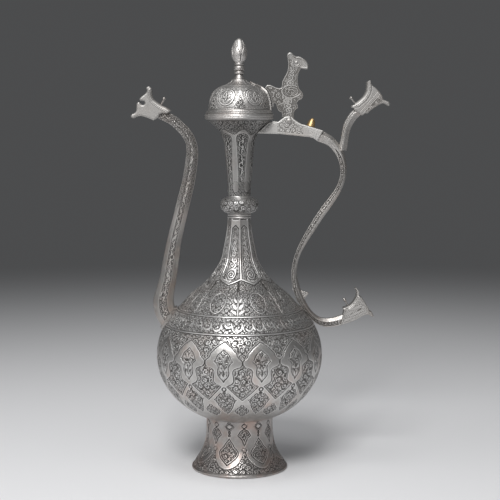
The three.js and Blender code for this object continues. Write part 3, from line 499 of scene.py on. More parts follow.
# %% Choose the values of each metal
WARM, BLACK = (0.6, 0.44, 0.37), (0.04, 0.036, 0.033)
METALS = {  # slot, tin, tarnish, copper, its amounts at foot and top, roughness, black fill, metallic, wear
    "engraved_tin": ("tinned_sheet", (0.6, 0.587, 0.571), (0.29, 0.28, 0.27), WARM, 0.5, 0.15, 0.35,
                     (0.04, 0.037, 0.034), 0.96),
    # painted shade: a darker copy of the tin for the funnel, with a blacker fill
    "funnel_tin_painted_shade": ("tinned_sheet", (0.37, 0.362, 0.352), (0.2, 0.193, 0.186), (0.48, 0.35, 0.29), 0.4, 0.2, 0.33,
                 (0.02, 0.019, 0.018), 0.96),
    "neck_tin": ("tinned_sheet", (0.57, 0.557, 0.542), (0.25, 0.242, 0.233), (0.5, 0.37, 0.31), 0.4, 0.15, 0.3,
                 (0.008, 0.0075, 0.007), 0.97),
    "lid_tin": ("tinned_sheet", (0.56, 0.547, 0.533), (0.27, 0.26, 0.25), WARM, 0.5, 0.15, 0.41,
                (0.03, 0.028, 0.026), 0.96),
    # painted shade: a darker copy of the tin for the foot and its wire, and warmer where more copper shows through
    "foot_tin_copper_and_painted_shade": ("tinned_sheet", (0.45, 0.428, 0.415), (0.2, 0.188, 0.18), (0.54, 0.39, 0.33), 0.7, 0.12, 0.4,
                 (0.024, 0.021, 0.019), 0.96),
    "chased_cast": ("cast_metal", (0.48, 0.464, 0.447), (0.22, 0.207, 0.192), (0.52, 0.39, 0.32), 0.8, 0.3, 0.38,
                    BLACK, 0.95),
    "chased_plate": ("cast_metal", (0.34, 0.332, 0.321), (0.23, 0.222, 0.21), (0.36, 0.29, 0.25), 0.5, 0.2, 0.47,
                     (0.13, 0.122, 0.113), 0.93, 0.25),
    "head_plate": ("cast_metal", (0.42, 0.409, 0.395), (0.28, 0.27, 0.256), (0.42, 0.34, 0.29), 0.5, 0.2, 0.47,
                   (0.14, 0.131, 0.122), 0.93, 0.25),
    "pale_plate": ("cast_metal", (0.56, 0.549, 0.532), (0.38, 0.37, 0.35), (0.5, 0.4, 0.34), 0.5, 0.25, 0.48,
                   (0.2, 0.19, 0.18), 0.92, 0.2),
    "plain_tin": ("tinned_sheet", (0.56, 0.547, 0.533), (0.29, 0.28, 0.27), WARM, 0.4, 0.12, 0.36,
                  (0.04, 0.037, 0.034), 0.96),
    "plain_cast": ("cast_metal", (0.43, 0.415, 0.4), (0.22, 0.207, 0.192), (0.52, 0.39, 0.32), 0.55, 0.15, 0.4,
                   BLACK, 0.95),
    "bare_brass": ("brass", (0.62, 0.43, 0.2), (0.42, 0.3, 0.17), (0.5, 0.34, 0.22), 0.2, 0.2, 0.38,
                   (0.05, 0.04, 0.02), 0.95)}
metals = {name: metal_finish(name, *values) for name, (_, *values) in METALS.items()}
print("metals:", *metals)

# %% [markdown]
# ## Floor, background and light
#
# The ewer stands on a plain pale floor that fades, behind it, into the plain dark grey backdrop of the
# photograph. Metal shows what is round it, so the light matters more than for a matt thing: one big soft lamp
# in front gives the bright band down the body, a weak one on the left keeps that side open, a weaker one on the
# right leaves it darker, and one above touches the lid. Backdrop and floor meet in the same grey, so no horizon
# is seen.

# %% Make the floor and the backdrop
BACKDROP, BACKDROP_LIGHT, FILL_LIGHT = (0.96, 0.975, 1, 1), 0.075, 0.2


def seen_directly(tree):
    """1 for rays from the camera, from a mirror or through glass, and 0 for light that objects scatter."""
    path = wires(put(tree, "ShaderNodeLightPath"))
    return (path["Is Camera Ray"] + path["Is Glossy Ray"] + path["Is Transmission Ray"]).least(1.0)


def make_floor():
    """A pale disc that catches the shadow and fades into the backdrop from 0.3 to 1.9 m off."""
    bpy.ops.mesh.primitive_circle_add(vertices=96, radius=8, fill_type="NGON", location=(0, 0, 0))
    floor = bpy.context.object
    floor.name = "floor"
    material = bpy.data.materials.new("pale_floor")
    material.use_nodes = True
    tree = material.node_tree
    shader = tree.nodes["Principled BSDF"]
    for key, value in {"Base Color": (0.8, 0.8, 0.81, 1), "Roughness": 0.9, "Specular IOR Level": 0.1}.items():
        shader.inputs[key].default_value = value
    share = wires(put(tree, "ShaderNodeTexCoord"))["Object"].length().ramp(0.3, 1.9) * seen_directly(tree)
    backdrop = put(tree, "ShaderNodeEmission", {"Color": BACKDROP, "Strength": BACKDROP_LIGHT})
    mixed = put(tree, "ShaderNodeMixShader", {0: share, 1: shader.outputs[0], 2: backdrop.outputs[0]})
    join(mixed.outputs[0], tree.nodes["Material Output"].inputs["Surface"])
    floor.data.materials.append(material)


def make_world():
    """The backdrop where the world is seen directly, and a little more light than that to fill the shadows."""
    world = bpy.data.worlds.new("soft_studio")
    world.use_nodes = True
    tree = world.node_tree
    tree.nodes.clear()
    strength = seen_directly(tree).ramp(0.0, 1.0, FILL_LIGHT, BACKDROP_LIGHT)
    back = put(tree, "ShaderNodeBackground", {"Color": BACKDROP, "Strength": strength})
    put(tree, "ShaderNodeOutputWorld", {"Surface": back.outputs[0]})
    bpy.context.scene.world = world


make_floor()
make_world()
print("backdrop", bpy.context.scene.world.name, "of strength", BACKDROP_LIGHT)

# %% Set the lamps
LAMPS = {"key": ((-0.28, -1.22, 1.25), 0.55, 20.5), "side": ((-1.35, -0.6, 0.6), 1.0, 2.6),
         "top": ((-0.1, -0.35, 1.45), 0.6, 4.7), "fill": ((1.3, -0.9, 0.7), 1.0, 0.6)}
for name, (at, size, power) in LAMPS.items():
    data = bpy.data.lights.new(name, "AREA")
    data.size, data.energy, data.shape = size, power, "SQUARE"
    lamp = bpy.data.objects.new(name, data)
    lamp.location = at
    lamp.rotation_euler = (Vector((AXIS / 1000, 0, 0.2)) - Vector(at)).to_track_quat("-Z", "Y").to_euler()
    bpy.context.scene.collection.objects.link(lamp)
bpy.context.scene.view_settings.view_transform = "Standard"
print("lamps:", *LAMPS)

# %% [markdown]
# ## Vines, leaves and borders
#
# What is larger than a curl is drawn into the mesh's own distances: a vine, which is a waving stem with a curl
# in every bend, single leaves, and the borders of the fields. Each drawing is a pair of distances, one into the
# drawn metal and one into the ground that the curling leaves fill. A pair is one array, so that both halves
# are chosen and limited together.

# %% Draw leaves and vines
def leaf_at(x, y, foot, tilt, length, wide):
    """Distance in mm into a pointed leaf that stands on its foot and leans over by tilt."""
    dx, dy = x - foot[0], y - foot[1]
    up, across = dx * math.sin(tilt) + dy * math.cos(tilt), dx * math.cos(tilt) - dy * math.sin(tilt)
    share = up / length
    ends = 4 * most(np.abs(share - 0.5) - 0.5, 0)
    return wide * np.sin(np.pi * np.clip(share, 0, 1)**0.8) - np.abs(across) - ends


def net_round(A, v, cells):
    """The net of curling leaves round a turned piece: cells round the axis and the given place up the wall."""
    return np.stack([wrapped(A, 2 * np.pi) * cells / (2 * np.pi), v + 0 * A, cells + 0 * A], axis=-1)


def net_flat(x, y, cell):
    """The net on a plate or along a bar, in a ring of so many cells that it never closes."""
    return np.stack([x / cell, y / cell, 1e4 + 0 * x * y], axis=-1)


def vine(along, across, half, wave):
    """Distance in mm to a stem that waves between -half and half across, with a curl in every bend."""
    bend = np.round(along / (wave / 2))
    x = along - bend * wave / 2
    y = across * np.where(bend % 2 == 0, 1, -1)
    swing = 0.55 * half
    lean = swing * 2 * np.pi / wave * np.sin(2 * np.pi * x / wave)
    stem = 0.13 * half - np.abs(y + swing * np.cos(2 * np.pi * x / wave)) / np.sqrt(1 + lean**2)
    ex, ey = x, y - 0.22 * half
    radius, turn = np.hypot(ex, ey), np.arctan2(ey, ex) / (2 * np.pi)
    pitch = 0.36 * half
    arm = least(0.11 * half - np.abs(wrapped(radius - pitch * turn, pitch)), 0.66 * half - radius)
    leaf = 0.17 * half - np.hypot((np.abs(x) - 0.2 * wave) * 0.6, y - 0.62 * half)
    return most(stem, arm, leaf, 0.13 * half - radius)


def zigzag(along, across, half, wave):
    """Distance in mm to a stem in nearly straight strokes from side to side, with a pointed leaf beside each
    stroke and a drop in each bend. Every bend leans a little its own way."""
    along = along + 0.5 * half * np.sin(along * 0.9) * np.sign(across)
    bend = np.abs(wrapped(along, wave)) * 2 / wave
    hand = np.where(bend > 0.5, 1, -1)
    near = wrapped(along + wave / 2 * (bend > 0.5), wave)
    stem = 0.15 * half - np.abs(across - 0.9 * half * (2 * bend - 1)) * 0.85
    lean = np.abs(near) - 0.75 * half + 0.9 * (across * hand + 0.1 * half)
    reach = (across * hand + 0.1 * half) - 0.45 * (np.abs(near) - 0.75 * half)
    leaf = least(0.26 * half - np.abs(lean) * 0.75 - 0.18 * np.abs(reach), 0.75 * half - np.abs(reach))
    return most(stem, leaf, 0.17 * half - np.hypot(across * hand - 0.8 * half, near))


test_leaf = leaf_at(np.zeros(100), np.linspace(0, 10, 100), (0, 0), 0, 10, 1.5)
print("a leaf 3 mm wide is metal for", int((test_leaf > 0).sum()), "of 100 points along it")

# %% Draw borders, and sink a drawing into the surface
def framed(field, front=-9.0, inset=1.9, line=1.3, wide=0.4, apart=0.4):
    """Engraving inside a border. field is the distance in mm into the engraved field. Outside it the metal is
    plain. Inside run a dark line, a bright line, a dark line and then the leaves, with the front figure on them.
    The leaves keep apart mm off the figure."""
    inside = field - inset
    metal = most(-field, wide - np.abs(field - line), least(front, inside))
    return np.stack([metal, least(inside, -front - apart)])


def plain(motif):
    """A drawing with no leaves behind it."""
    return np.stack([motif, 0 * motif - 1])


def engraved(drawing, net=None, depth=0.25):
    """The lift and the values of a surface that is cut away by depth mm outside the metal and the leaves."""
    motif, fill = drawing
    found = {"lift": -depth * (1 - step(most(motif, fill), -0.35, 0.3)), "motif": motif, "fill": fill}
    return found if net is None else {**found, "net": net}


def width_at(y, table):
    """Half widths of an outline at heights y, and how far its slope lengthens a distance measured sideways."""
    heights, halves = np.array(table, float).T
    half = np.interp(y, heights, halves)
    slope = np.interp(y, (heights[1:] + heights[:-1]) / 2, np.diff(halves) / np.diff(heights))
    return half, np.sqrt(1 + np.clip(slope, -2.5, 2.5)**2)


test_field = np.linspace(0, 5, 501)
print("leaves begin", round(float(test_field[np.argmax(framed(test_field)[1] > 0)]), 2), "mm inside a border")

# %% [markdown]
# ## The belly: fourteen cartouches
#
# Round the belly run fourteen plain, pointed cartouches. Each holds a small medallion, and their feet cross as
# straps, with diamond medallions hanging below the crossings. Between the cartouches stand fans of dense curls.
# One cell of that pattern is measured from the photograph as half widths at heights along the curved wall. The
# engraved field is a distance, so its border lines follow the outline by themselves.

# %% Draw the belly's ornament
FOOT_TOP, BELLY_Z, SEAM_Z, BELLY_R, BOWL_DEEP, SHOULDER_RISE = 52.6, 115.626, 139.53, 82.8, 69.0, 70.5
CROSSING_Z, CARTOUCHES = 100.9, 14
CARTOUCHE = [(-2.6, 2.2), (-1, 4.8), (0, 6.8), (1.4, 8.6), (3, 9.4), (6, 9.5), (9, 8.9), (12.3, 8.6),
             (14.6, 9.8), (16, 12.4), (17.2, 16.2), (19, 17.6), (21.5, 17.7), (23.2, 16.8), (24.6, 14.8),
             (26, 13.4), (28.4, 12.6), (30, 11.8), (31.4, 10.2), (33.5, 8.4), (35.4, 6.4), (37.5, 3.7),
             (40.2, 0), (42.5, -4), (60, -30)]
MEDALLION = [(-2, -4), (0.9, 0), (3.6, 1.5), (5.8, 3.6), (8, 5.2), (11.2, 6), (14.5, 5.6), (16.5, 5.2),
             (18.4, 6), (20.6, 8.2), (22, 9.5), (23.6, 8), (25.5, 7.2), (27.5, 6.4), (29, 5.2), (30.4, 3.4),
             (32, 1.6), (33.6, 0), (36, -5)]
DIAMOND = [(-44, -4), (-40.5, 0), (-36, 3), (-32, 4.9), (-28.5, 6.7), (-25, 7.6), (-23, 8.2), (-20.5, 9.6),
           (-18.8, 11.2), (-17.2, 10), (-15.5, 8.4), (-13, 6.9), (-10.3, 4.2), (-8, 0), (-5, -5)]
HALF_DIAMOND = [(-48, -5), (-45, 0), (-41, 4.4), (-36.5, 6.9), (-34, 7), (-31, 5.2), (-27.5, 2.4), (-24.5, 0),
                (-20, -5)]


def ellipse_line(z, rise):
    """(radius, height) points of the belly: an ellipse that rises or sinks so far from its widest place."""
    return np.stack([BELLY_R * np.sqrt(most(0, 1 - ((z - BELLY_Z) / rise)**2)), z], axis=1)


def cell_distance(sideways, y, table):
    """Distance in mm into an outline that is given by half widths at heights."""
    half, lengthen = width_at(y, table)
    return (half - sideways) / lengthen


def belly_motif(angle, y, radius):
    """The engraving at an angle, at y mm above the strap crossings and at a radius."""
    share = 2 * np.pi / CARTOUCHES
    x = np.abs(radius * wrapped(angle + np.radians(10.2), share))
    beside = radius * share / 2 - x
    fan = (15.9 * (1 + (y + 2.6) / 16.9) - beside) * 0.72
    toothed_edge = 0.3 * np.cos(1.7 * y)
    field = most(np.where(y > -2.6, -cell_distance(x, y, CARTOUCHE), fan),
                 cell_distance(x, y, MEDALLION),
                 cell_distance(x, y, DIAMOND) + toothed_edge,
                 cell_distance(beside, y, HALF_DIAMOND) + toothed_edge,
                 0.6 - np.abs(np.hypot(x, y + 5.8) - 1.9))
    figure = most(leaf_at(x, y, (0.4, 12), 0.85, 9.5, 1.3), leaf_at(x, y, (0.3, 22), 0.4, 8, 1.2),
                  leaf_at(x, y, (0.3, 4.5), 0.35, 7, 1.0))
    figure = np.where((y > 0) & (x < 9.5) & (y < 34), figure, -9)
    return framed(field, figure)


print("a cartouche and its fan take", round(2 * np.pi * BELLY_R / CARTOUCHES, 1), "mm round the belly")

# %% Make the bowl
def bowl_relief(A, S, R, Z):
    """The cartouches, with the distance up the wall counted from the crossings of their straps."""
    y = S - np.interp(CROSSING_Z, Z[:, 0], S[:, 0])
    return engraved(belly_motif(A, y, R), net_round(A, y / 7.2, 72))


low_rows = np.linspace(FOOT_TOP, 64, 12)
fine_rows = np.linspace(math.asin((64 - BELLY_Z) / BOWL_DEEP), 0, 64)
high_rows = np.linspace(BELLY_Z, SEAM_Z, 34)
bowl_outside = np.concatenate([[[0, FOOT_TOP], [17, FOOT_TOP]], ellipse_line(low_rows, BOWL_DEEP)[:-1],
                               ellipse_line(BELLY_Z + BOWL_DEEP * np.sin(fine_rows), BOWL_DEEP)[:-1],
                               ellipse_line(high_rows, SHOULDER_RISE)])
bowl_inside = np.concatenate([inner_skin(bowl_outside[2:], 1.5, 14, (False, True)), [[0, FOOT_TOP + 1.5]]])
turned("engraved_bowl", bowl_outside, bowl_inside, 760, "engraved_tin", relief=bowl_relief, node="bowl")

# %% [markdown]
# ## The shoulder and its band
#
# Above the belly runs a band between two raised lines. On the real piece it seems to hold writing, so here it
# gets a scroll of large curls instead. Over it the shoulder rises in a soft S to the neck, filled with fine
# curls, thin upright lines and the points that reach down from the eight panels of the neck.

# %% Draw the panels of the neck, the band and the sprays
BREAK_Z, ROOT_Z, ROOT_R = 164.93, 199.93, 24.5
BAND_LOW, BAND_HIGH, FIGURES = 47.6, 67.3, 42
SEAM_UP = 39.5  # how far the seam lies above the crossings of the straps, along the wall
TONGUE_Z = 241.5  # where the plain tongues under the collar begin
NECK_TURN = 2 * np.pi / 8
NECK_FIRST = np.radians(4)


def neck_panels(angle, radius, z):
    """Distance into the panels of the neck: between the ridges, and above the lines that fork below them."""
    from_ridge = np.abs(radius * wrapped(angle - NECK_FIRST, NECK_TURN))
    half = radius * NECK_TURN / 2
    tip = 194.7 - 4.8 * from_ridge / most(half, 1)
    return from_ridge, half, (z - tip) * 1.25


def neck_motif(angle, radius, z):
    """Bright ridge and fork, an inner frame, a vine up every panel and plain tongues under the collar."""
    from_ridge, half, above = neck_panels(angle, radius, z)
    inside = least(from_ridge - 1.0, above - 0.85, TONGUE_Z - z + 0.9 * from_ridge)
    signed = radius * wrapped(angle - NECK_FIRST - NECK_TURN / 2, NECK_TURN)
    stem = vine(z - 201.5, signed, np.clip(half - 3.0, 1.2, 6.5), 11.0)
    swirl = np.hypot(signed, z - 198.5)
    turn = np.arctan2(z - 198.5, signed) / (2 * np.pi)
    spiral = least(0.62 - np.abs(wrapped(swirl - 2.1 * turn, 2.1)), 5.2 - swirl)
    front = np.where(swirl < 5.2, spiral, stem)
    panel = np.stack([most(0.34 - np.abs(inside - 1.1), least(front, inside - 1.7)),
                      least(inside - 1.7, np.where(swirl < 5.4, -1, -front - 0.4))])
    tongue = least(z - TONGUE_Z - 0.9 * from_ridge - 0.9, 251.2 - z)
    ridge, fork = least(1.0 - from_ridge, z - 193.5), 0.85 - np.abs(above)
    panel[0] = most(panel[0], tongue, ridge, fork)
    return panel


def band_scroll(A, y, R):
    """Round the band, in every cell a curl that is turned and shifted a little by chance, and a slanting leaf."""
    cell = np.round(A * FIGURES / (2 * np.pi))
    along = (A * FIGURES / (2 * np.pi) - cell) * 2 * np.pi / FIGURES * R
    luck = chance(cell % FIGURES, 3)
    cx, cy = 2.5 * (luck - 0.5), 55 + 4.5 * chance(cell % FIGURES, 5)
    ring = np.hypot(along - cx, y - cy)
    spin = np.arctan2(y - cy, along - cx) + np.pi / 2 + 1.6 * (luck - 0.5)
    crescent = 1.15 * np.cos(np.clip(wrapped(spin, 2 * np.pi) * 0.72, -1.6, 1.6)) - np.abs(ring - 3.5) - 0.1
    figure = most(crescent, 0.9 - np.hypot(along - cx - 0.8, y - cy - 0.5),
                  leaf_at(along, y, (5.6, 51), -0.3, 12, 0.8))
    return least(np.stack([figure, -figure - 0.4]), 9 - np.abs(y - 57.45))


def shoulder_sprays(A, y, R):
    """Eight sprays of three leaves, with an arch beside each, and thin upright lines between them."""
    side = np.abs(R * wrapped(A + np.radians(1), NECK_TURN))
    palmette = most(leaf_at(side, y, (0.9, 70.5), 0.85, 8.5, 1.5), leaf_at(side, y, (0.9, 76), 0.6, 9, 1.7),
                    leaf_at(side, y, (0.9, 83.5), 0.45, 8, 1.4),
                    0.42 - np.abs(np.hypot(side - R * NECK_TURN / 2, (y - 84) * 0.6) - 7.5))
    drawing = least(np.stack([palmette, -palmette - 0.35]), side - 1.1)
    drawing[0] = most(drawing[0], least(0.5 - side, 98 - y))
    return drawing


print("neck panels:", round(2 * np.pi / NECK_TURN), "and figures in the band:", FIGURES)

# %% Make the shoulder
def shoulder_relief(A, S, R, Z):
    """Belly field up to the band, then the band, then leaves with upright lines, then the foot of the panels."""
    y = S + SEAM_UP
    above = neck_panels(A, R, Z)[2]
    shoulder = np.where(above > -1.2, neck_motif(A, R, Z), least(shoulder_sprays(A, y, R), -above - 1.9))
    drawing = np.where(y < 46.6, belly_motif(A, y, R), np.where(y < 67.8, band_scroll(A, y, R), shoulder))
    from_line = least(np.abs(y - BAND_LOW), np.abs(y - BAND_HIGH))
    drawing = least(drawing, from_line - 1.4)
    drawing[0] = most(drawing[0], 0.75 - from_line)
    cells = np.where((y < BAND_LOW) | (y >= BAND_HIGH), 72.0, 96.0)
    size = np.where(y < BAND_LOW, 7.2, np.where(y < BAND_HIGH, 5.2, 5.6))
    found = engraved(drawing, net_round(A, y / size + 100 * (y > BAND_LOW), cells))
    found["lift"] += 0.35 * step(0.75 - from_line, -0.3, 0.4)
    return found


shoulder_line = np.concatenate([ellipse_line(np.linspace(SEAM_Z, BREAK_Z, 6), SHOULDER_RISE), profile(
    [[0.33, 0.3], [0.6, 0.64], [0.82, 0.86], [1, 1]], BREAK_Z, ROOT_Z - BREAK_Z,
    BELLY_R * math.sqrt(1 - ((BREAK_Z - BELLY_Z) / SHOULDER_RISE)**2), ROOT_R)])
shoulder_outside = smooth_line(shoulder_line, 118)
turned("engraved_shoulder", shoulder_outside, inner_skin(shoulder_outside, 1.5, 10), 740, "engraved_tin",
       relief=shoulder_relief, node="shoulder")

# %% [markdown]
# ## The neck
#
# The lower neck is eight-sided with a bright rib on each edge. A round lathe form gets its flats from a factor
# on the radius: across a flat the distance from the axis is the edge's distance times the cosine of half a side
# over the cosine of the turn from the middle. Over it sit two small rings, a bulging knop, and the slim upper
# neck, whose six tall panels end in arches on the funnel.

# %% Make the lower neck
COLLAR_Z, KNOP_Z, NECK_R = 252.33, 256.93, 11.2


def eight_sides(A, Z):
    """The factor on the radius that flattens the neck between its ribs, coming in over 14 mm."""
    turn = wrapped(A - NECK_FIRST - NECK_TURN / 2, NECK_TURN)
    return 1 + np.clip((Z - ROOT_Z) / 14, 0, 1) * (math.cos(NECK_TURN / 2) / np.cos(turn) - 1)


def lower_neck_relief(A, S, R, Z):
    """The panels, with the ribs between them raised."""
    found = engraved(neck_motif(A, R, Z), net_round(A, Z / 4.2, 32), 0.22)
    from_ridge = np.abs(R * wrapped(A - NECK_FIRST, NECK_TURN))
    found["lift"] += 0.3 * step(1.2 - from_ridge, 0, 0.9)
    return found


lower_neck_outside = profile([[0, 1], [0.12, 0.7], [0.24, 0.49], [0.4, 0.35], [0.6, 0.19], [0.8, 0.07], [1, 0]],
                             ROOT_Z, 52.4, NECK_R, ROOT_R, 110)
turned("ribbed_neck", lower_neck_outside, inner_skin(lower_neck_outside, 1.4, 10), 336, "engraved_tin",
       relief=lower_neck_relief, node="lower_neck", bend=eight_sides)

# %% Make the rings under the knop
def collar_rings(A, S, R, Z):
    return {"lift": 0 * A, "motif": np.abs(wrapped(Z - COLLAR_Z, 2.3)) * 1.6 - 0.25}


rings = profile([[0, 0], [0.06, 0.5], [0.15, 0.86], [0.25, 1], [0.35, 0.86], [0.44, 0.5], [0.5, 0], [0.56, 0.5],
                 [0.65, 0.86], [0.75, 1], [0.85, 0.86], [0.94, 0.5], [1, 0]], COLLAR_Z, 4.6, NECK_R, 12.0)
turned("neck_rings", rings, [[9.8, KNOP_Z], [9.8, COLLAR_Z]], 96, "engraved_tin", relief=collar_rings,
       node="neck_collar")

# %% Make the knop
def knop_relief(A, S, R, Z):
    """Curls as large as the bulge allows, between two plain edges."""
    field = least(Z - 257.6, 273.1 - Z) * 1.3
    return engraved(framed(field, inset=1.3, line=0.9, wide=0.3), net_round(A, (S + 0.5) / 6.4, 18), 0.3)


knop_outside = profile([[0, 0.03], [0.1, 0.5], [0.28, 0.88], [0.52, 1], [0.76, 0.88], [0.91, 0.5], [1, 0.03]],
                       KNOP_Z, 16.8, NECK_R, 19, 60)
turned("neck_bulge", knop_outside, inner_skin(knop_outside, 1.4, 10), 280, "engraved_tin",
       relief=knop_relief, node="neck_knop")

# %% [markdown]
# ## The upper neck and the mouth
#
# Six panels with arched tops rise from the knop to the funnel. Their sides widen with the neck, so their half
# width is an angle that grows with the height. Plain metal runs between them, with an oval shield low down.

# %% Draw the panels of the upper neck
UPPER_Z, FUNNEL_Z, RIM_Z = 273.73, 327.53, 350.03
PANEL_HEIGHTS = [(276, 12), (280, 12.4), (284, 13.6), (288, 14.4), (305, 16.5), (320, 20), (329, 21.6),
                 (332.5, 21.5), (334.5, 17), (336, 9), (336.9, 0), (338, -8)]


def upper_motif(angle, radius, z):
    """Engraving of the six tall panels and of the funnel above them."""
    sixth = np.pi / 3
    turn = np.degrees(wrapped(angle - np.radians(12), sixth))
    half, _ = width_at(z, PANEL_HEIGHTS)
    lengthen = np.where(z > 332, 0.62, 1.0)
    panel = least((half - np.abs(turn)) * np.radians(1) * radius * lengthen, z - 278.2)
    side = turn * np.radians(1) * radius
    figure = zigzag(z - 284, side, np.clip(radius * 0.22, 2.5, 4.0), 10.5)
    drawing = framed(panel, figure, 1.2, 0.8, 0.22, 1.0)
    oval = 1 - np.hypot((30 - np.abs(turn)) * np.radians(1) * radius / 3.1, (z - 283.7) / 5.2)
    low = framed(least(289.5 - z - 0.9 * np.abs(side), z - 274.4), inset=0.4, line=0.2, wide=0.05)
    drawing = np.where(z < 289.5 - 0.9 * np.abs(side), low, drawing)
    drawing = np.where(oval > 0, plain(1.5 + 0 * z), np.where(oval > -0.13, plain(-0.5 + 0 * z), drawing))
    drawing = np.where((z < 279.2) & (oval < -0.13), low, drawing)
    drawing = least(drawing, np.stack([np.abs(z - 278.0) - 0.3, 0 * z + 9]))
    over = z - 337.2 - 2.4 * np.cos(np.radians(turn) * 6)
    above = framed(least(over, 349.4 - z) * 1.3, inset=1.6, line=1.1, wide=0.3)
    return np.where(over > -0.6, above, drawing), over > 0.4


def upper_relief(A, S, R, Z):
    drawing, high = upper_motif(A, R, Z)
    return engraved(drawing, net_round(A, Z / np.where(high, 4.6, 3.6), np.where(high, 32.0, 24.0)), 0.2)


print("the panels reach from", PANEL_HEIGHTS[0][0], "to", PANEL_HEIGHTS[-2][0], "mm")

# %% Make the upper neck and the funnel
upper_outside = profile([[0, 0], [0.26, 0.1], [0.5, 0.4], [0.75, 0.66], [1, 1]], UPPER_Z, 53.8, NECK_R, 15.1, 110)
turned("panelled_neck", upper_outside, inner_skin(upper_outside, 1.4, 10), 260, "neck_tin",
       relief=upper_relief, node="upper_neck")
funnel_outside = profile([[0, 0], [0.28, 0.14], [0.44, 0.21], [0.57, 0.37], [0.7, 0.54], [0.86, 0.76], [1, 1]],
                         FUNNEL_Z, 22.5, 15.1, 33, 60)
# The funnel's darker tin is painted shade.
turned("trumpet_mouth", funnel_outside, inner_skin(funnel_outside, 1.4, 10), 400, "funnel_tin_painted_shade",
       relief=upper_relief, node="mouth_funnel")

# %% Make the rim of the mouth
def grooved(A, S, R, Z):
    """Four fine grooves turned into the rim."""
    groove = np.abs(wrapped(Z - 350.6, 1.15)) * 2.2 - 0.35
    return {"lift": -0.15 * (1 - step(groove, -0.3, 0.3)), "motif": groove + 0.2}


rim_outside = profile([[0, 1], [0.14, 0.5], [0.3, 0], [0.45, 0.8], [0.6, 0], [0.8, 0.15], [1, 0.5]], RIM_Z, 4.9,
                      34, 33.4, 34)
turned("mouth_moulding", rim_outside, [[29, RIM_Z + 4.9], [29, RIM_Z]], 200, "lid_tin", relief=grooved,
       node="mouth_rim")

# %% [markdown]
# ## The foot
#
# The foot spreads like an upturned trumpet and stands on a rolled wire. Seven large medallions stand on it, with
# seven small ones between their shoulders, over a band of dense curls at the edge.

# %% Draw the medallions of the foot
LARGE_MEDALLION = [(9, -3), (11, 0), (12.6, 2.4), (15, 5.6), (17.5, 8.4), (20, 10.1), (22.6, 10.4), (25, 9.2),
                   (27.4, 6.8), (29, 5.2), (30.4, 4.8), (32.4, 3.4), (34.6, 1.6), (37, 0), (39, -3)]
SMALL_MEDALLION = [(26.5, -3), (28.6, 0), (32, 1.6), (35, 2.7), (37, 4.2), (38.6, 6.2), (40, 6.8), (41.6, 5.6),
                   (43.6, 4.6), (45.2, 2.6), (46.6, 0), (48.6, -3)]
STEM_LOZENGE = [(41, -3), (43.4, 0), (48.2, 4.9), (53, 0), (55, -3)]
BEAD_LOZENGE = [(44.4, -2), (46, 0), (49, 3.2), (52, 0), (54, -2)]


def foot_relief(A, S, R, Z):
    """Medallions by their half widths at every height, over a dense ground that rises between them."""
    share = 2 * np.pi / 7
    side = R * wrapped(A + np.radians(17), share)
    x = np.abs(side)
    beside = R * share / 2 - x
    large = cell_distance(x, Z, LARGE_MEDALLION)
    field = most(large, cell_distance(beside, Z, SMALL_MEDALLION))
    lozenge = cell_distance(x, Z, STEM_LOZENGE)
    small_lozenge = cell_distance(beside, Z, BEAD_LOZENGE)
    bead = 1 - np.hypot(beside / 2.2, (Z - 25.4) / 1.7)
    beads = np.min([np.abs(np.hypot(x, Z - at) - 1.0) for at in (39.2, 42.2)], axis=0)
    reach = np.interp(beside, [1.2, 3, 6, 10, 14, 18], [24, 18.5, 14.4, 11.4, 9.4, 8.2])
    ground = least((reach - Z) * 0.8, Z - 3.2)
    field = most(field, ground)
    drawing = framed(field, inset=2.3, line=1.35, wide=0.45)
    drawing = np.where(ground > most(large, 0), framed(field, inset=0.9, line=0.55, wide=0.1), drawing)
    drawing = np.where(lozenge > -0.45, plain(most(np.where(lozenge > 2.6, 0.5, -0.5), 0.34 - np.abs(
        np.abs(lozenge - 1.3) - 0.75))), drawing)
    drawing = np.where(small_lozenge > -0.4, plain(np.abs(small_lozenge - 0.3) - 0.5), drawing)
    drawing = np.where(bead > -0.3, plain(np.where(bead > 0.1, 1.5, -0.5)), drawing)
    drawing = least(drawing, beads - 0.45)
    return engraved(drawing, net_round(A, S / 5.4, 42), 0.22)


print("the large medallions end", LARGE_MEDALLION[-2][0], "mm up")

# %% Make the foot and its wire
foot_outside = profile([[0, 1], [0.1, 0.79], [0.22, 0.51], [0.41, 0.2], [0.65, 0.05], [1, 0]], 3.2, 49.4, 33.2,
                       46.9, 90)
# The foot and its wire take a tin that is darker, which is painted shade, and warmer, where the copper shows
# through.
turned("spreading_foot", foot_outside, inner_skin(foot_outside, 1.5, 12), 420, "foot_tin_copper_and_painted_shade",
       relief=foot_relief, node="foot")
turn = np.linspace(-np.pi / 2, np.pi / 2, 13)
wire = np.stack([46.6 + 1.6 * np.cos(turn), 1.6 + 1.6 * np.sin(turn)], axis=1)
turned("foot_wire", np.concatenate([[[43, 0]], wire, [[43, 3.2]]]), [], 160, "foot_tin_copper_and_painted_shade", node="foot_rim")

# %% [markdown]
# ## The lid
#
# The lid is a moulded flange, an engraved dome and an acorn on a turned stem. Six round medallions stand on the
# dome. Their distance is measured along the surface, so they stay round where the dome bends away.

# %% Make the flange
LID_Z, DOME_Z, FINIAL_Z, BUD_Z, TOP_Z = 355.23, 358.23, 389.23, 405.33, 429.13


def flange_lines(A, S, R, Z):
    return {"lift": 0 * A, "motif": np.abs(Z - 356.9) * 2.0 - 0.45}


flange_outside = smooth_line([[32.6, LID_Z], [33, 355.6], [33, 356.3], [32.2, 356.9], [32.4, 357.5],
                              [31.5, DOME_Z]], 20)
turned("lid_flange_turned", flange_outside, [[25, DOME_Z], [25, LID_Z]], 160, "lid_tin",
       body="lid", relief=flange_lines, node="lid_flange")

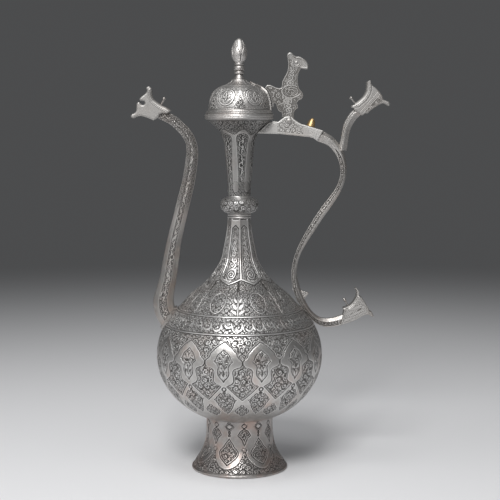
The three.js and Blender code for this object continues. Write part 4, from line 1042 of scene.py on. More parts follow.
# %% Make the dome
def dome_relief(A, S, R, Z):
    """Six round medallions, dense points between them at the foot of the dome, and outlined sprays above."""
    share = np.pi / 3
    up = S - np.interp(371.9, Z[:, 0], S[:, 0])
    x = R * wrapped(A + np.radians(27), share)
    reach = np.hypot(x, up) / 1.28
    petals = [leaf_at(x, up, (0, -6.3), 0, 12.6, 2.2), *(
        leaf_at(x, up, (0.3 * lean, foot_at), lean, 7.2, 1.9) for foot_at in (-6.0, -2.2) for lean in (-0.85, 0.85))]
    inner = np.min([np.abs(petal - 0.3) - 0.26 for petal in petals], axis=0)
    rings = least(np.abs(reach - 5.7) - 0.24, np.abs(reach - 7.4) - 0.3)
    medal = np.where(reach > 5.4, rings, inner)
    beside = R * share / 2 - np.abs(x)
    point = (np.interp(Z, [359.4, 362, 365, 368, 371, 374.5], [8.2, 6.4, 4.6, 3.1, 1.7, 0]) - beside) * 0.85
    low = least(most(point, 361.4 - Z), Z - 359.0)
    dense = framed(low, inset=1.2, line=0.8, wide=0.28)
    sprays = vine(up + 4, np.abs(beside) - 3.4, 3.2 + 0 * Z, 8.0)
    rest = plain(np.where((Z > 362) & (Z < 381) & (low < -0.6), most(np.abs(sprays - 0.1) - 0.1, 0.0), 2.0))
    drawing = np.where(reach < 8.1, plain(medal), np.where(low > 0, dense, rest))
    tongue = np.abs(wrapped(A, np.pi / 6) * R) - 0.12
    collar = np.where((Z > 381.5) & (Z < 388.2), least(tongue, np.abs(Z - 381.9) - 0.15), 9)
    return engraved(least(drawing, collar), net_round(A, up / 4.2, 42), 0.2)


dome_line = profile([[0, 1], [0.14, 0.985], [0.3, 0.96], [0.46, 0.9], [0.56, 0.84], [0.66, 0.72], [0.75, 0.55],
                     [0.83, 0.28], [0.93, 0.07], [1, 0]], DOME_Z, 31, 6.8, 30.5, 84)
dome_outside = np.concatenate([dome_line, [[4, FINIAL_Z], [1.8, FINIAL_Z]]])
turned("engraved_dome", dome_outside, inner_skin(dome_outside, 1.2, 14, (True, False)), 400,
       "lid_tin", body="lid", relief=dome_relief, node="lid_dome")

# %% Make the stem of the finial
STEM_PARTS = [([[0.01, 1.05], [0.1, 0.86], [0.28, 0.63]], 12),
              ([[0.29, 0.8], [0.33, 0.88], [0.44, 0.88], [0.48, 0.76], [0.5, 0.72]], 14),
              ([[0.51, 0.8], [0.56, 0.96], [0.66, 1], [0.76, 0.96], [0.82, 0.72]], 16),
              ([[0.84, 0.8], [0.9, 0.86], [1, 0.8]], 6)]
stem_outside = np.concatenate([[[0, 385.23], [1.5, 385.23], [1.5, 389.1], [5.6, FINIAL_Z]], *(
    profile(shares, FINIAL_Z, 16.1, 0, 5.4, count) for shares, count in STEM_PARTS), [[0, BUD_Z]]])


def stem_lines(A, S, R, Z):
    seams = np.min([np.abs(Z - z) for z in (389.4, 393.8, 397.2, 402.6, 405.2)], axis=0)
    return {"lift": 0 * A, "motif": seams * 2 - 0.5}


turned("finial_turning", stem_outside, [], 72, "lid_tin", body="lid", relief=stem_lines, node="finial_stem")

# %% Make the acorn bud
def acorn_relief(A, S, R, Z):
    """Six long pointed leaves from the base, with the tips of six more between them, each with a rib."""
    up = np.clip((Z - 406) / 21.5, 0, 1)
    across = np.abs(wrapped(A + 0.3, np.pi / 3)) / (np.pi / 6)
    front = (np.clip(1 - (up / 0.74)**2.2, 0, 1) - across) * R * np.pi / 6
    seam = np.abs(front) * 0.8 - 0.16
    rib = np.where(front > 0.3, across, 1 - across) * R * np.pi / 6 * 1.4 - 0.04
    notch = np.abs(wrapped(Z - 1.6 * np.abs(across - 0.5) * R, 3.2)) + 0.05
    motif = least(seam, rib, np.where(up < 0.6, notch, 2))
    motif = np.where((Z > 427) | (Z < 406.4), 2.0, motif)
    found = engraved(plain(motif), depth=0.2)
    found["lift"] += 0.25 * step(front, -0.1, 0.5)
    return found


BUD_SIDE = [[0, 0.62], [0.06, 0.66], [0.14, 0.8], [0.26, 0.96], [0.4, 1], [0.56, 0.95], [0.7, 0.82], [0.84, 0.62],
            [0.93, 0.42], [0.985, 0.16]]
bud_side = smooth_line(np.concatenate([profile(BUD_SIDE, BUD_Z, 23.8, 0, 7.6), [[0.5, 429.1]]]), 60)
turned("acorn_bud", np.concatenate([[[0, BUD_Z]], bud_side, [[0, TOP_Z]]]), [], 140, "lid_tin", body="lid",
       relief=acorn_relief, node="finial_bud")

# %% [markdown]
# ## A section carried along a bent line
#
# The spout, the handle and its branch are long forms whose section stays alike while it turns and shrinks. Each
# is a section in shares of the width, set square to a smooth line in the X-Z plane. The ornament is laid out in
# millimetres along the line and across the face, so it keeps its size where the form narrows.

# %% Carry a section along a line
def wrap(name, rings, fields, metal, body, node, ends="capped"):
    """A mesh of rings of points, closed round each ring. The ends get a cap of triangles, or, with ends joined,
    the last ring runs on into the first."""
    if ends == "capped":
        rings = np.concatenate([np.repeat(rings[:1].mean(axis=1, keepdims=True), rings.shape[1], axis=1), rings,
                                np.repeat(rings[-1:].mean(axis=1, keepdims=True), rings.shape[1], axis=1)])
        fields = {key: np.concatenate([value[:1], value, value[-1:]]) for key, value in fields.items()}
    grid = np.arange(rings.shape[0] * rings.shape[1]).reshape(rings.shape[:2])
    quads = ring_faces(grid[:-1], grid[1:]) if ends == "capped" else ring_faces(grid, np.roll(grid, -1, axis=0))
    return make_piece(name, rings.reshape(-1, 3), quads, fields, metal, body, node, poles=ends == "capped")


def lifted(rings, lift):
    """The rings with every point moved along the surface's own normal by lift mm, away from the ring's middle."""
    down = np.gradient(rings, axis=0)
    round_it = np.roll(rings, -1, axis=1) - np.roll(rings, 1, axis=1)
    normal = np.cross(down, round_it)
    normal /= most(np.linalg.norm(normal, axis=2), 1e-9)[:, :, None]
    away = rings - rings.mean(axis=1, keepdims=True)
    normal *= np.sign((normal * away).sum(axis=2).mean())
    return rings + normal * lift[:, :, None]


def swept_rings(line, section, depth=None):
    """A ring at every (x, z, width) of the line: a section point (a, b) goes to a widths across the line in the
    X-Z plane and b depths along Y. Without a depth the form is as deep as it is wide."""
    along = np.gradient(line[:, :2], axis=0)
    along /= np.linalg.norm(along, axis=1)[:, None]
    a, b = section.T
    wide = line[:, 2:3]
    x = AXIS + line[:, :1] - along[:, 1:] * a * wide
    z = line[:, 1:2] + along[:, :1] * a * wide
    y = b * (wide if depth is None else depth) + 0 * x
    return np.stack([x, y, z], axis=-1)


def rounded_section(corners, per_side, rounding):
    """A polygon with its corners eased: each side is sampled evenly, then the ring is averaged with its
    neighbours within the given share of a side."""
    corners = np.array(corners, float)
    after = np.roll(corners, -1, axis=0)
    t = np.arange(per_side)[None, :, None] / per_side
    ring = (corners[:, None] + (after - corners)[:, None] * t).reshape(-1, 2)
    reach = max(1, int(per_side * rounding))
    return np.mean([np.roll(ring, k, axis=0) for k in range(-reach, reach + 1)], axis=0)


vessel_line = np.concatenate([bowl_outside[2:], shoulder_outside[1:], lower_neck_outside[1:]])


def vessel_radius(z):
    """The outside radius of the vessel at a height."""
    return np.interp(z, vessel_line[:, 1], vessel_line[:, 0])


print("vessel radius at the seam:", round(float(vessel_radius(SEAM_Z)), 2), "mm")

# %% [markdown]
# ## The spout
#
# The spout is an eight-sided tube that rises from an elbow on the shoulder. Its two side faces carry a zigzag
# stem, the four slanting ones carry curling leaves that fade in upwards, and the other two are plain but for fine
# lines. The tube's foot has to follow the shoulder: for every column of points, the row is found at which it
# leaves the vessel, and the column starts there.

# %% Lay out the spout
SPOUT = [(0.84, 0, 1.02), (0.925, 0.049, 1.04), (0.988, 0.095, 1.02), (1, 0.134, 1), (0.974, 0.181, 0.9),
         (0.942, 0.227, 0.84), (0.897, 0.321, 0.79), (0.852, 0.413, 0.71), (0.788, 0.506, 0.67),
         (0.723, 0.598, 0.65), (0.659, 0.69, 0.62), (0.62, 0.781, 0.6), (0.611, 0.83, 0.56),
         (0.632, 0.866, 0.52), (0.685, 0.902, 0.5), (0.76, 0.931, 0.49), (0.863, 0.963, 0.48),
         (0.97, 0.982, 0.47), (1.074, 1, 0.46)]
spout_line = smooth_line([(-75.9 * x, 141.0 + 216 * z, 20 * w) for x, z, w in SPOUT], 420)
side_share = math.tan(math.pi / 8)
across_face = (np.arange(30) + 0.5) / 30 - 0.5
eased = 1 - 0.018 * step(np.abs(across_face), 0.36, 0.5)
face_turn = np.arange(8)[:, None] * np.pi / 4
octagon = np.stack([0.5 * eased * np.cos(face_turn) - across_face * side_share * eased * np.sin(face_turn),
                    0.5 * eased * np.sin(face_turn) + across_face * side_share * eased * np.cos(face_turn)],
                   axis=-1).reshape(-1, 2)


def rows_from(values, start, rows):
    """Rows of a grid read anew, in each column from its own starting row to the last."""
    at = start[None, :] + (len(values) - 1 - start[None, :]) * np.linspace(0, 1, rows)[:, None]
    low = least(at.astype(int), len(values) - 2)
    share = (at - low).reshape(*at.shape, *[1] * (values.ndim - 2))
    column = np.arange(values.shape[1])[None, :]
    return values[low, column] * (1 - share) + values[low + 1, column] * share


def spout_skin(width_change, rows):
    """The tube's surface with its width changed, cut off where it enters the vessel: the points, and the distance
    along the tube and its width at each."""
    line = spout_line + [0, 0, width_change]
    rings = swept_rings(line, octagon)
    inside = np.hypot(rings[..., 0] - AXIS, rings[..., 1]) < vessel_radius(rings[..., 2]) + 0.3
    inside[len(line) // 3:] = False
    start = np.where(inside.any(axis=0), len(line) - 1 - np.argmax(inside[::-1], axis=0), 0).astype(float)
    along = np.repeat(length_along(line[:, :2])[:, None], rings.shape[1], axis=1)
    wide = np.repeat(line[:, 2:3], rings.shape[1], axis=1)
    return [rows_from(values, start, rows) for values in (rings, along, wide)]


print("the spout is", round(float(length_along(spout_line[:, :2])[-1]), 1), "mm long")

# %% Engrave the spout and make it
def spout_motif(along, wide):
    """A zigzag stem on the two faces that look sideways, curling leaves on the slanting ones, which grow denser
    upwards, and a fine line near the edges of the other two."""
    across = np.tile(across_face, 8) * wide * side_share
    face = np.repeat(np.arange(8), 30)[None, :] + 0 * along
    half = wide * side_share / 2
    field = least(half - 0.1 - np.abs(across), least(along - 9, 256 - along))
    scroll = framed(field, zigzag(along, across, half - 0.5, 11), 0.4, 0.2, -1, 0.55)
    edge_line = np.where(face % 4 == 2, 2, np.abs(half - np.abs(across) - 0.8) - 0.12)
    leaves = framed(field - 0.3, inset=0.2, line=0.1, wide=-1)
    leaves[0] = most(leaves[0], 0.9 - np.clip(along - 90, 0, 200) / 45)
    drawing = np.where(face % 4 == 2, scroll, np.where(face % 2 == 1, leaves, plain(edge_line)))
    return drawing, net_flat(along, across + 40 * face, 3.6)


spout_outer, spout_along, spout_wide = spout_skin(0, 380)
spout_drawing, spout_net = spout_motif(spout_along, spout_wide)
spout_cut = engraved(spout_drawing, spout_net, 0.2)
spout_outer = lifted(spout_outer, spout_cut.pop("lift"))
spout_inner = spout_skin(-2.4, 12)[0][::-1]
wrap("engraved_spout", np.concatenate([spout_outer, spout_inner]),
     {key: np.concatenate([value, np.full((12, *value.shape[1:]), REST[key])])
      for key, value in spout_cut.items()},
     "chased_cast", "ewer", "spout_tube", ends="joined")

# %% [markdown]
# ## The handle
#
# The handle is a cast bar in an S with a ridge along each side. It leaves the bracket, swings out and in, touches
# the shoulder, and runs out to the lower head. A branch near its top carries the upper head. The bar is pushed
# off the shoulder where they meet, as a soldered foot is filed to fit.

# %% Make the handle
HANDLE = [(0.78, 0, 1), (0.877, 0.029, 0.8), (0.953, 0.078, 0.7), (0.998, 0.147, 0.58), (1, 0.206, 0.51),
          (0.969, 0.266, 0.5), (0.904, 0.327, 0.57), (0.838, 0.377, 0.63), (0.768, 0.432, 0.62),
          (0.698, 0.494, 0.6), (0.634, 0.552, 0.52), (0.572, 0.62, 0.44), (0.54, 0.68, 0.43),
          (0.532, 0.741, 0.48), (0.549, 0.8, 0.6), (0.579, 0.853, 0.66), (0.625, 0.903, 0.58),
          (0.697, 0.955, 0.5), (0.765, 0.986, 0.6), (0.838, 0.998, 0.72), (0.931, 0.994, 0.76),
          (1, 0.982, 0.78), (1.04, 0.974, 0.76)]
BRANCH = [(0, 0, 0.9), (0.02, 0.1, 0.96), (0.08, 0.25, 0.9), (0.13, 0.4, 0.9), (0.23, 0.576, 0.96),
          (0.39, 0.716, 1), (0.61, 0.845, 1.02), (0.83, 0.924, 1), (1, 1, 0.96)]
RIDGED = [(0.5, 0.2), (0.14, 0.5), (-0.5, 0.26), (-0.5, -0.26), (0.14, -0.5), (0.5, -0.2)]
ridged = rounded_section(RIDGED, 14, 0.12)


def bar(name, line, node, depth, drawing_of):
    """A ridged bar with its engraving, kept off the vessel."""
    rings = swept_rings(line, ridged, depth)
    along = np.repeat(length_along(line[:, :2])[:, None], len(ridged), axis=1)
    across = ridged[:, 0] * line[:, 2:3]
    front = np.abs(ridged[:, 1]) + 0 * along > 0.27
    cut = engraved(drawing_of(along, across, line[:, 2:3], front), net_flat(along, across, 3.4), 0.18)
    rings = lifted(rings, cut.pop("lift"))
    out = np.hypot(rings[..., 0] - AXIS, rings[..., 1])
    clear = vessel_radius(rings[..., 2]) + 0.3
    push = np.where(rings[..., 2] < 252, most(clear / out, 1), 1)
    rings[..., 0] = AXIS + (rings[..., 0] - AXIS) * push
    rings[..., 1] *= push
    return wrap(name, rings, cut, "chased_cast", "ewer", node)


def handle_drawing(along, across, wide, front):
    """A fine line beside the ridge all along, and leaves on the wide face, which start in a point."""
    face = least(0.1 * wide - across, across + 0.47 * wide) - 0.5 - np.clip((34 - along) / 8, 0, 4)
    worked = least(face, least(along - 8, along.max() - 9 - along))
    line = np.where(front, np.abs(across - 0.12 * wide) - 0.13, 2)
    drawing = framed(worked, inset=0.5, line=0.2, wide=-1)
    drawing = np.where(front, drawing, plain(2 + 0 * drawing[0]))
    return np.stack([least(drawing[0], line), drawing[1]])


handle_line = smooth_line([(102.8 * x, 333.43 - 186.3 * z, 11.8 * w) for x, z, w in HANDLE], 520)
bar("ridged_handle", handle_line, "handle_bar", 8.4, handle_drawing)

# %% Make the branch of the handle
root_row = int(0.105 * len(handle_line))
root_way = unit(handle_line[root_row + 1, :2] - handle_line[root_row - 1, :2])
root = handle_line[root_row, :2] + 0.5 * handle_line[root_row, 2] * np.array([-root_way[1], root_way[0]])
branch_line = smooth_line([(root[0] + 19.2 * x, root[1] + 42.3 * z, 8.4 * w) for x, z, w in BRANCH], 150)


def branch_drawing(along, across, wide, front):
    """Two fine lines that follow the ridge."""
    line = least(np.abs(across - 0.12 * wide), np.abs(across - 0.33 * wide)) - 0.14
    return plain(np.where(front, line, 2))


bar("ridged_branch", branch_line, "handle_branch", 8.4, branch_drawing)

# %% [markdown]
# ## Plates cut to an outline
#
# The bird, the bracket, the heads and the small leaf are plates sawn to an outline. A plate could be filled in
# by hand with polygons, but chasing needs a fine, even net. So a square net is laid over the outline, the cells
# with their middle inside are kept, and the points on their border are slid along the slope of the distance
# until the distance is zero. The same distance rounds the edges and draws the bright line along the rim.

# %% Measure the distance to an outline
def distance_to(loop, closed=True):
    """A function of (x, z): the distance to a closed outline, above zero inside, or to an open line."""
    a = np.asarray(loop, float)
    b = np.roll(a, -1, axis=0) if closed else a[1:]
    a = a if closed else a[:-1]
    run = b - a
    size = most((run**2).sum(axis=1), 1e-12)

    def found(x, z):
        flat = np.stack([np.ravel(x), np.ravel(z)], axis=1)
        parts = []
        for some in np.array_split(flat, max(1, len(flat) * len(a) // 2_000_000)):
            to = some[:, None] - a
            t = np.clip((to * run).sum(axis=2) / size, 0, 1)
            near = np.sqrt(((to - t[:, :, None] * run)**2).sum(axis=2).min(axis=1))
            if closed:
                level = (a[:, 1] > some[:, 1:]) != (b[:, 1] > some[:, 1:])
                where = a[:, 0] + run[:, 0] * (some[:, 1:] - a[:, 1]) / np.where(run[:, 1] == 0, 1e-9, run[:, 1])
                odd = (level & (some[:, :1] < where)).sum(axis=1) % 2 == 1
                near = np.where(odd, near, -near)
            parts.append(near)
        return np.concatenate(parts).reshape(np.shape(x))
    return found


def drawn(stretches, place, per=7):
    """One outline from stretches of shares, each a smooth line, with straight lines between them."""
    parts = []
    for stretch in stretches:
        points = np.array([place(u, v) for u, v in stretch], float)
        parts.append(smooth_line(points, per * (len(points) - 1) + 1) if len(points) > 2 else points)
    return np.concatenate(parts)


test_square = distance_to([(0, 0), (2, 0), (2, 2), (0, 2)])
print("the middle of a square of 2 mm lies", test_square(np.ones(1), np.ones(1))[0], "mm inside")

# %% Cut a plate
def cut_plate(name, shape, corners, gap, half, chase, metal, body, node, turn=None):
    """A plate in the X-Z plane, x from the vessel's axis. shape is the distance inside, half the half thickness
    at a distance from the edge, and chase gives lift and motif there."""
    (x0, z0), (x1, z1) = corners
    nx, nz = int((x1 - x0) / gap) + 2, int((z1 - z0) / gap) + 2
    X, Z = np.meshgrid(x0 + gap * np.arange(nx), z0 + gap * np.arange(nz))
    middle = shape(X[:-1, :-1] + gap / 2, Z[:-1, :-1] + gap / 2) > 0
    grid = np.arange(X.size).reshape(X.shape)
    cells = np.stack([grid[:-1, :-1], grid[:-1, 1:], grid[1:, 1:], grid[1:, :-1]], axis=-1)[middle]
    used, quads = np.unique(cells, return_inverse=True)
    quads = quads.reshape(-1, 4)
    x, z = X.ravel()[used], Z.ravel()[used]
    count = len(used)
    start, end = quads.ravel(), np.roll(quads, -1, axis=1).ravel()
    alone = ~np.isin(start * count + end, end * count + start)
    start, end = start[alone], end[alone]
    rim = np.unique(start)
    rx, rz = x[rim], z[rim]
    for _ in range(4):
        d = shape(rx, rz)
        gx = (shape(rx + 0.05, rz) - shape(rx - 0.05, rz)) / 0.1
        gz = (shape(rx, rz + 0.05) - shape(rx, rz - 0.05)) / 0.1
        slope = most(gx**2 + gz**2, 0.4)
        rx, rz = rx - np.clip(d, -gap, gap) * gx / slope, rz - np.clip(d, -gap, gap) * gz / slope
    x[rim], z[rim] = rx, rz
    inside = most(shape(x, z), 0)
    inside[rim] = 0
    found = chase(x, z, inside)
    deep = half(inside, x, z) + found.pop("lift")
    front = np.stack([x + AXIS, -deep, z], axis=1)
    back = front * [1, -1, 1]
    if turn:
        front, back = turn(front), turn(back)
    walls = np.stack([end, start, start + count, end + count], axis=1)
    faces = np.concatenate([quads, quads[:, ::-1] + count, walls])
    found = {key: np.concatenate([value, value]) for key, value in found.items()}
    return make_piece(name, np.concatenate([front, back]), faces, found, metal, body, node)


def eased_edge(thick, easing):
    """Half the thickness, rounded off over the easing at the edge as a parabola is."""
    def half(inside, x, z):
        t = np.clip(1 - inside / easing, 0, 1)
        return thick / 2 - easing * 0.45 * t * t
    return half


def circle_in(x, z, at, radius):
    """Distance into a circle."""
    return radius - np.hypot(x - at[0], z - at[1])


# %% [markdown]
# ## The bird
#
# The thumbpiece is a bird sawn from plate: a raised rim runs round it, and the inside is chased with curls, with
# a ring for the eye, a line for the wing and hatching on the beak. Its breast rests against the lid's strap, and
# its leg ends in the hinge eye.

# %% Outline the bird
PIN, BIRD_SIZE = (49.2, 348.23), 66.9
BIRD = [
    [(0.07, 0.05), (0.07, 0.12), (0.1, 0.17), (0.13, 0.19), (0.13, 0.23), (0.11, 0.26)],
    [(0.14, 0.3), (0.19, 0.33), (0.206, 0.38), (0.19, 0.42), (0.15, 0.47)],
    [(0.13, 0.54), (0.126, 0.62), (0.14, 0.7), (0.17, 0.765)],
    [(0.21, 0.76), (0.27, 0.758), (0.281, 0.8), (0.26, 0.86), (0.21, 0.907), (0.15, 0.935), (0.1, 0.937)],
    [(0.067, 0.96), (0.045, 0.987), (0.006, 1), (-0.025, 0.98), (-0.033, 0.94)],
    [(-0.02, 0.88), (-0.016, 0.8), (-0.034, 0.71), (-0.07, 0.64), (-0.1, 0.58), (-0.11, 0.49)],
    [(-0.14, 0.475), (-0.2, 0.49), (-0.25, 0.514), (-0.29, 0.526), (-0.33, 0.52), (-0.354, 0.49)],
    [(-0.354, 0.44), (-0.31, 0.33), (-0.25, 0.194)],
    [(-0.227, 0.21), (-0.222, 0.26), (-0.195, 0.245), (-0.18, 0.19), (-0.15, 0.14), (-0.11, 0.13)],
    [(-0.105, 0.09), (-0.11, 0.05)]]


def bird_at(u, v):
    return PIN[0] + BIRD_SIZE * u, PIN[1] + BIRD_SIZE * v


bird_outline = distance_to(drawn(BIRD, bird_at))
dome_shape = distance_to(np.concatenate([[[0, 358.2]], dome_line, [[0, FINIAL_Z]]]))


def bird_shape(x, z):
    """The outline and the hinge eye together, less the pin's hole and the room for dome and strap."""
    body = most(bird_outline(x, z), circle_in(x, z, PIN, 5.5))
    return least(body, -circle_in(x, z, PIN, 1.8), -dome_shape(x, z) - 2.3)


print("the bird stands", BIRD_SIZE, "mm over the pin")

# %% Chase and cut the bird
def bird_chase(x, z, inside):
    """A raised rim, a ring round the eye, a wing line and curls over the rest."""
    u, v = (x - PIN[0]) / BIRD_SIZE, (z - PIN[1]) / BIRD_SIZE
    eye = np.hypot(u - 0.105, v - 0.849) * BIRD_SIZE
    wing = (np.hypot((u - 0.03) / 1.5, v - 0.43) - 0.092) * BIRD_SIZE
    feathers = least(0.35 - np.abs(wrapped(wing - 0.4 * np.sin(9 * u), 2.2)), -wing - 0.4)
    spine = np.interp(v, [0.1, 0.3, 0.45, 0.6, 0.8], [0, -0.03, -0.02, 0.02, 0.05])
    sprays = vine((v - 0.02) * BIRD_SIZE, (u - spine) * BIRD_SIZE,
                  np.interp(v, [0.1, 0.3, 0.45, 0.62, 0.75], [3.6, 6.5, 7.5, 3.6, 3.2]), 9.0)
    lines = most(0.5 - np.abs(wing), 0.45 - np.abs((v - 0.3 - 0.5 * (u + 0.02)) * 58))
    lines = np.where((v > 0.2) & (v < 0.53), lines, -9)
    front = np.where(wing < 0.6, most(lines, feathers), most(lines, sprays))
    drawing = framed(inside - 0.9, front, 0.7, 0.2, -1)
    smooth = (u > 0.165) & (v > 0.74) | (eye < 4.6) | (v < 0.07) | ((v > 0.9) & (u < 0.07))
    drawing = np.where(smooth, plain(np.where(eye < 4.6, most(np.abs(eye - 3.4) - 0.2, 1.6 - eye), 2)), drawing)
    beak = (u > 0.19) & (v > 0.74) & (inside > 1.0)
    drawing[0] = np.where(beak, np.abs(wrapped((u + 0.6 * v) * BIRD_SIZE, 2.2)) - 0.02, drawing[0])
    found = engraved(drawing, net_flat(x, z, 7.0), 0.12)
    found["lift"] += 0.22 * step(1.5 - inside, -0.3, 0.3) + 0.45 * step(1.9 - eye, 0, 1.2)
    found["lift"] += 0.25 * step(0.8 - np.abs(eye - 2.9), 0, 0.5)
    found["lift"] = np.where(v < 0.1, least(found["lift"], 0), found["lift"])
    return found


cut_plate("chased_bird", bird_shape, ((22, 340), (71, 417)), 0.32, eased_edge(3.0, 1.3), bird_chase,
          "chased_plate", "lid", "bird_thumbpiece")

# %% [markdown]
# ## The bracket, its pin and the bud
#
# The bracket is a thick plate soldered on the funnel, with a hump over the hinge and a slot for the bird's leg.
# The slot is cut with a Boolean, because it only goes through the middle of the thickness. A headed pin crosses
# it, and a bud of bare brass stops the bird when the lid is open.

# %% Outline and chase the bracket
BRACKET_TOP = [
    [(-0.53, -0.17), (-0.28, -0.005), (-0.19, -0.016)],
    [(-0.134, 0.026), (-0.08, 0.066), (-0.03, 0.077), (0.033, 0.066), (0.084, 0.026)],
    [(0.16, -0.026), (0.22, -0.056), (0.274, -0.07)], [(0.472, -0.131)]]
BRACKET_UNDER = [(0.42, -0.294), (0.34, -0.272), (0.26, -0.265), (-0.155, -0.223), (-0.53, -0.21)]


BRACKET_LONG, BRACKET_HIGH = 57.378, 57.4


def bracket_at(u, v):
    return PIN[0] + BRACKET_LONG * u, PIN[1] + BRACKET_HIGH * v


first_way = unit(handle_line[1, :2] - handle_line[0, :2])
first_side = np.array([-first_way[1], first_way[0]])
bracket_end = [handle_line[0, :2] - 0.3 * first_way + s * 0.5 * handle_line[0, 2] * first_side for s in (1, -1)]
bracket_outline = distance_to(np.concatenate([drawn(BRACKET_TOP, bracket_at), bracket_end,
                                              [bracket_at(u, v) for u, v in BRACKET_UNDER]]))
funnel_shape = distance_to(np.concatenate([[[0, 327.5]], funnel_outside, [[0, RIM_Z]]]))


def bracket_shape(x, z):
    """The outline, less the room for the funnel."""
    return least(bracket_outline(x, z), -funnel_shape(x, z) - 0.3)


def bracket_chase(x, z, inside):
    """A leaf scroll cut in dark strokes, dark pits, and a bright line along the hump."""
    u, v = (x - PIN[0]) / BRACKET_LONG, (z - PIN[1]) / BRACKET_HIGH
    worked = least(inside - 2.2, (u + 0.2) * 57, (0.24 - u) * 57)
    rim = np.where(v > -0.16, np.abs(inside - 1.6) - 0.14, 2)
    notch = np.hypot((x - 50.4) * 1.1, (z - 351.0) * 0.8) - 1.0
    drawing = np.stack([least(rim, notch, np.where(worked > -0.3, np.abs(worked) - 0.1, 2)), worked])
    drawing[0] = np.where(worked > 0, least(drawing[0], -0.12), drawing[0])
    lines = np.abs(wrapped(v * BRACKET_HIGH + 0.55 * (x - 66), 2.6)) - 0.13
    drawing[0] = np.where((u > 0.34) & (inside > 1.0), least(drawing[0], lines), drawing[0])
    return engraved(drawing, net_flat(x, z, 5.6), 0.15)


print("the bracket ends in the handle at", *(np.round(point, 1) for point in bracket_end))

# %% Cut the bracket and its slot
def on_round_funnel(points):
    """Points near the funnel moved in, because a round form falls away beside its middle."""
    x, y, z = (points - [AXIS, 0, 0]).T
    radius = np.interp(z, funnel_outside[:, 1], funnel_outside[:, 0])
    fall = radius - np.sqrt(most(radius**2 - y**2, 0))
    near = 1 - step(x - radius, 0.5, 4)
    return points - np.stack([fall * near, 0 * y, 0 * z], axis=1)


def cut_away(piece, loop, depth):
    """A Boolean cut through the middle of a piece: an outline in the X-Z plane, depth mm wide along Y."""
    n = len(loop)
    points = [(x + AXIS, y, z) for y in (-depth / 2, depth / 2) for x, z in loop]
    sides = [(k, (k + 1) % n, n + (k + 1) % n, n + k) for k in range(n)]
    mesh = bpy.data.meshes.new("cutter")
    mesh.from_pydata(np.array(points) / 1000, [], [tuple(range(n))[::-1], tuple(range(n, 2 * n)), *sides])
    layer = mesh.attributes.new("motif", "FLOAT", "POINT")
    layer.data.foreach_set("value", np.full(2 * n, 2.0, np.float32))
    work = bmesh.new()
    work.from_mesh(mesh)
    bmesh.ops.recalc_face_normals(work, faces=work.faces)
    work.to_mesh(mesh)
    work.free()
    mesh.materials.append(piece.data.materials[0])
    cutter = bpy.data.objects.new("cutter", mesh)
    bpy.context.scene.collection.objects.link(cutter)
    cut = piece.modifiers.new("cut", "BOOLEAN")
    cut.object, cut.operation, cut.solver = cutter, "DIFFERENCE", "EXACT"
    made = bpy.data.meshes.new_from_object(piece.evaluated_get(bpy.context.evaluated_depsgraph_get()))
    piece.modifiers.clear()
    piece.data = made
    bpy.data.objects.remove(cutter)
    print(f"{piece.name} cut: {sum(len(p.vertices) - 2 for p in made.polygons)} triangles")


bracket = cut_plate("chased_bracket", bracket_shape, ((16, 328), (86, 355)), 0.34, eased_edge(11.0, 0.9),
                    bracket_chase, "pale_plate", "ewer", "hinge_bracket", turn=on_round_funnel)
ring = np.linspace(0, 2 * np.pi, 49)[:-1]
cut_away(bracket, np.stack([PIN[0] + 10.4 * np.cos(ring), PIN[1] + 10.4 * np.sin(ring)], axis=1), 3.8)

# %% Make the pin
def stood(foot, up):
    """A place for a turned piece: its axis along up, from the foot."""
    up = unit(np.array(up, float))
    side = unit(np.cross(up, [0, 1, 0.3]))
    turn = np.stack([side, np.cross(up, side), up])
    return lambda local: local @ turn + np.array([AXIS, 0, 0]) + foot


def rounded_end(radius, top, rise):
    """A quarter of an ellipse that closes a pin at its top."""
    t = np.linspace(0, np.pi / 2, 8)
    return np.stack([radius * np.cos(t), top - rise + rise * np.sin(t)], axis=1)


pin_half = np.concatenate([[[1.5, 0], [1.5, 5.8], [2.6, 5.82]], rounded_end(2.6, 6.8, 0.7)])
pin_line = np.concatenate([(pin_half * [1, -1])[::-1], pin_half[1:]])
turned("hinge_pin_turned", pin_line, [], 40, "chased_cast", node="hinge_pin",
       place=stood([PIN[0], 0, PIN[1]], [0, 1, 0]))

# %% Make the brass bud
slope_from, slope_to = (np.array(bracket_at(*share)) for share in ((0.274, -0.07), (0.472, -0.131)))
slope_way = unit(slope_to - slope_from)
bud_at = slope_from + slope_way * (0.366 * BRACKET_LONG + PIN[0] - slope_from[0]) / slope_way[0]
brass_line = np.concatenate([[[0, -3.5], [1.5, -3.5], [1.5, 0.3], [3.7, 0.3]], smooth_line(
    [[5.0, 0.32], [4.2, 0.9], [3.85, 2.4], [3.3, 5.0], [2.1, 7.3], [1.0, 8.5], [0.25, 8.9]], 26), [[0, 8.92]]])
turned("brass_bud", brass_line, [], 48, "bare_brass", node="stop_bud",
       place=stood([bud_at[0], 0, bud_at[1]], [-slope_way[1], 0, slope_way[0]]))

# %% [markdown]
# ## The strap on the dome
#
# A leaf-shaped strap lies on the dome, 1.7 mm thick, and carries the bird. It is worked out on the dome's own
# profile: rows go down the profile, columns go across the leaf, and the point at y across sits at the angle
# whose sine is y over the radius.

# %% Make the strap
STRAP_EDGE = [(0.03, 0.06), (0.14, 0.3), (0.27, 0.43), (0.38, 0.36), (0.48, 0.33), (0.7, 0.47), (1, 0.5)]
strap_path = evenly(dome_line[dome_line[:, 0] > 9.6][::-1], 90)
strap_side = -normals_of(strap_path)
strap_half = np.interp(strap_path[:, 0], *np.array([(9 + 26 * a, 13 * c) for a, c in STRAP_EDGE]).T)


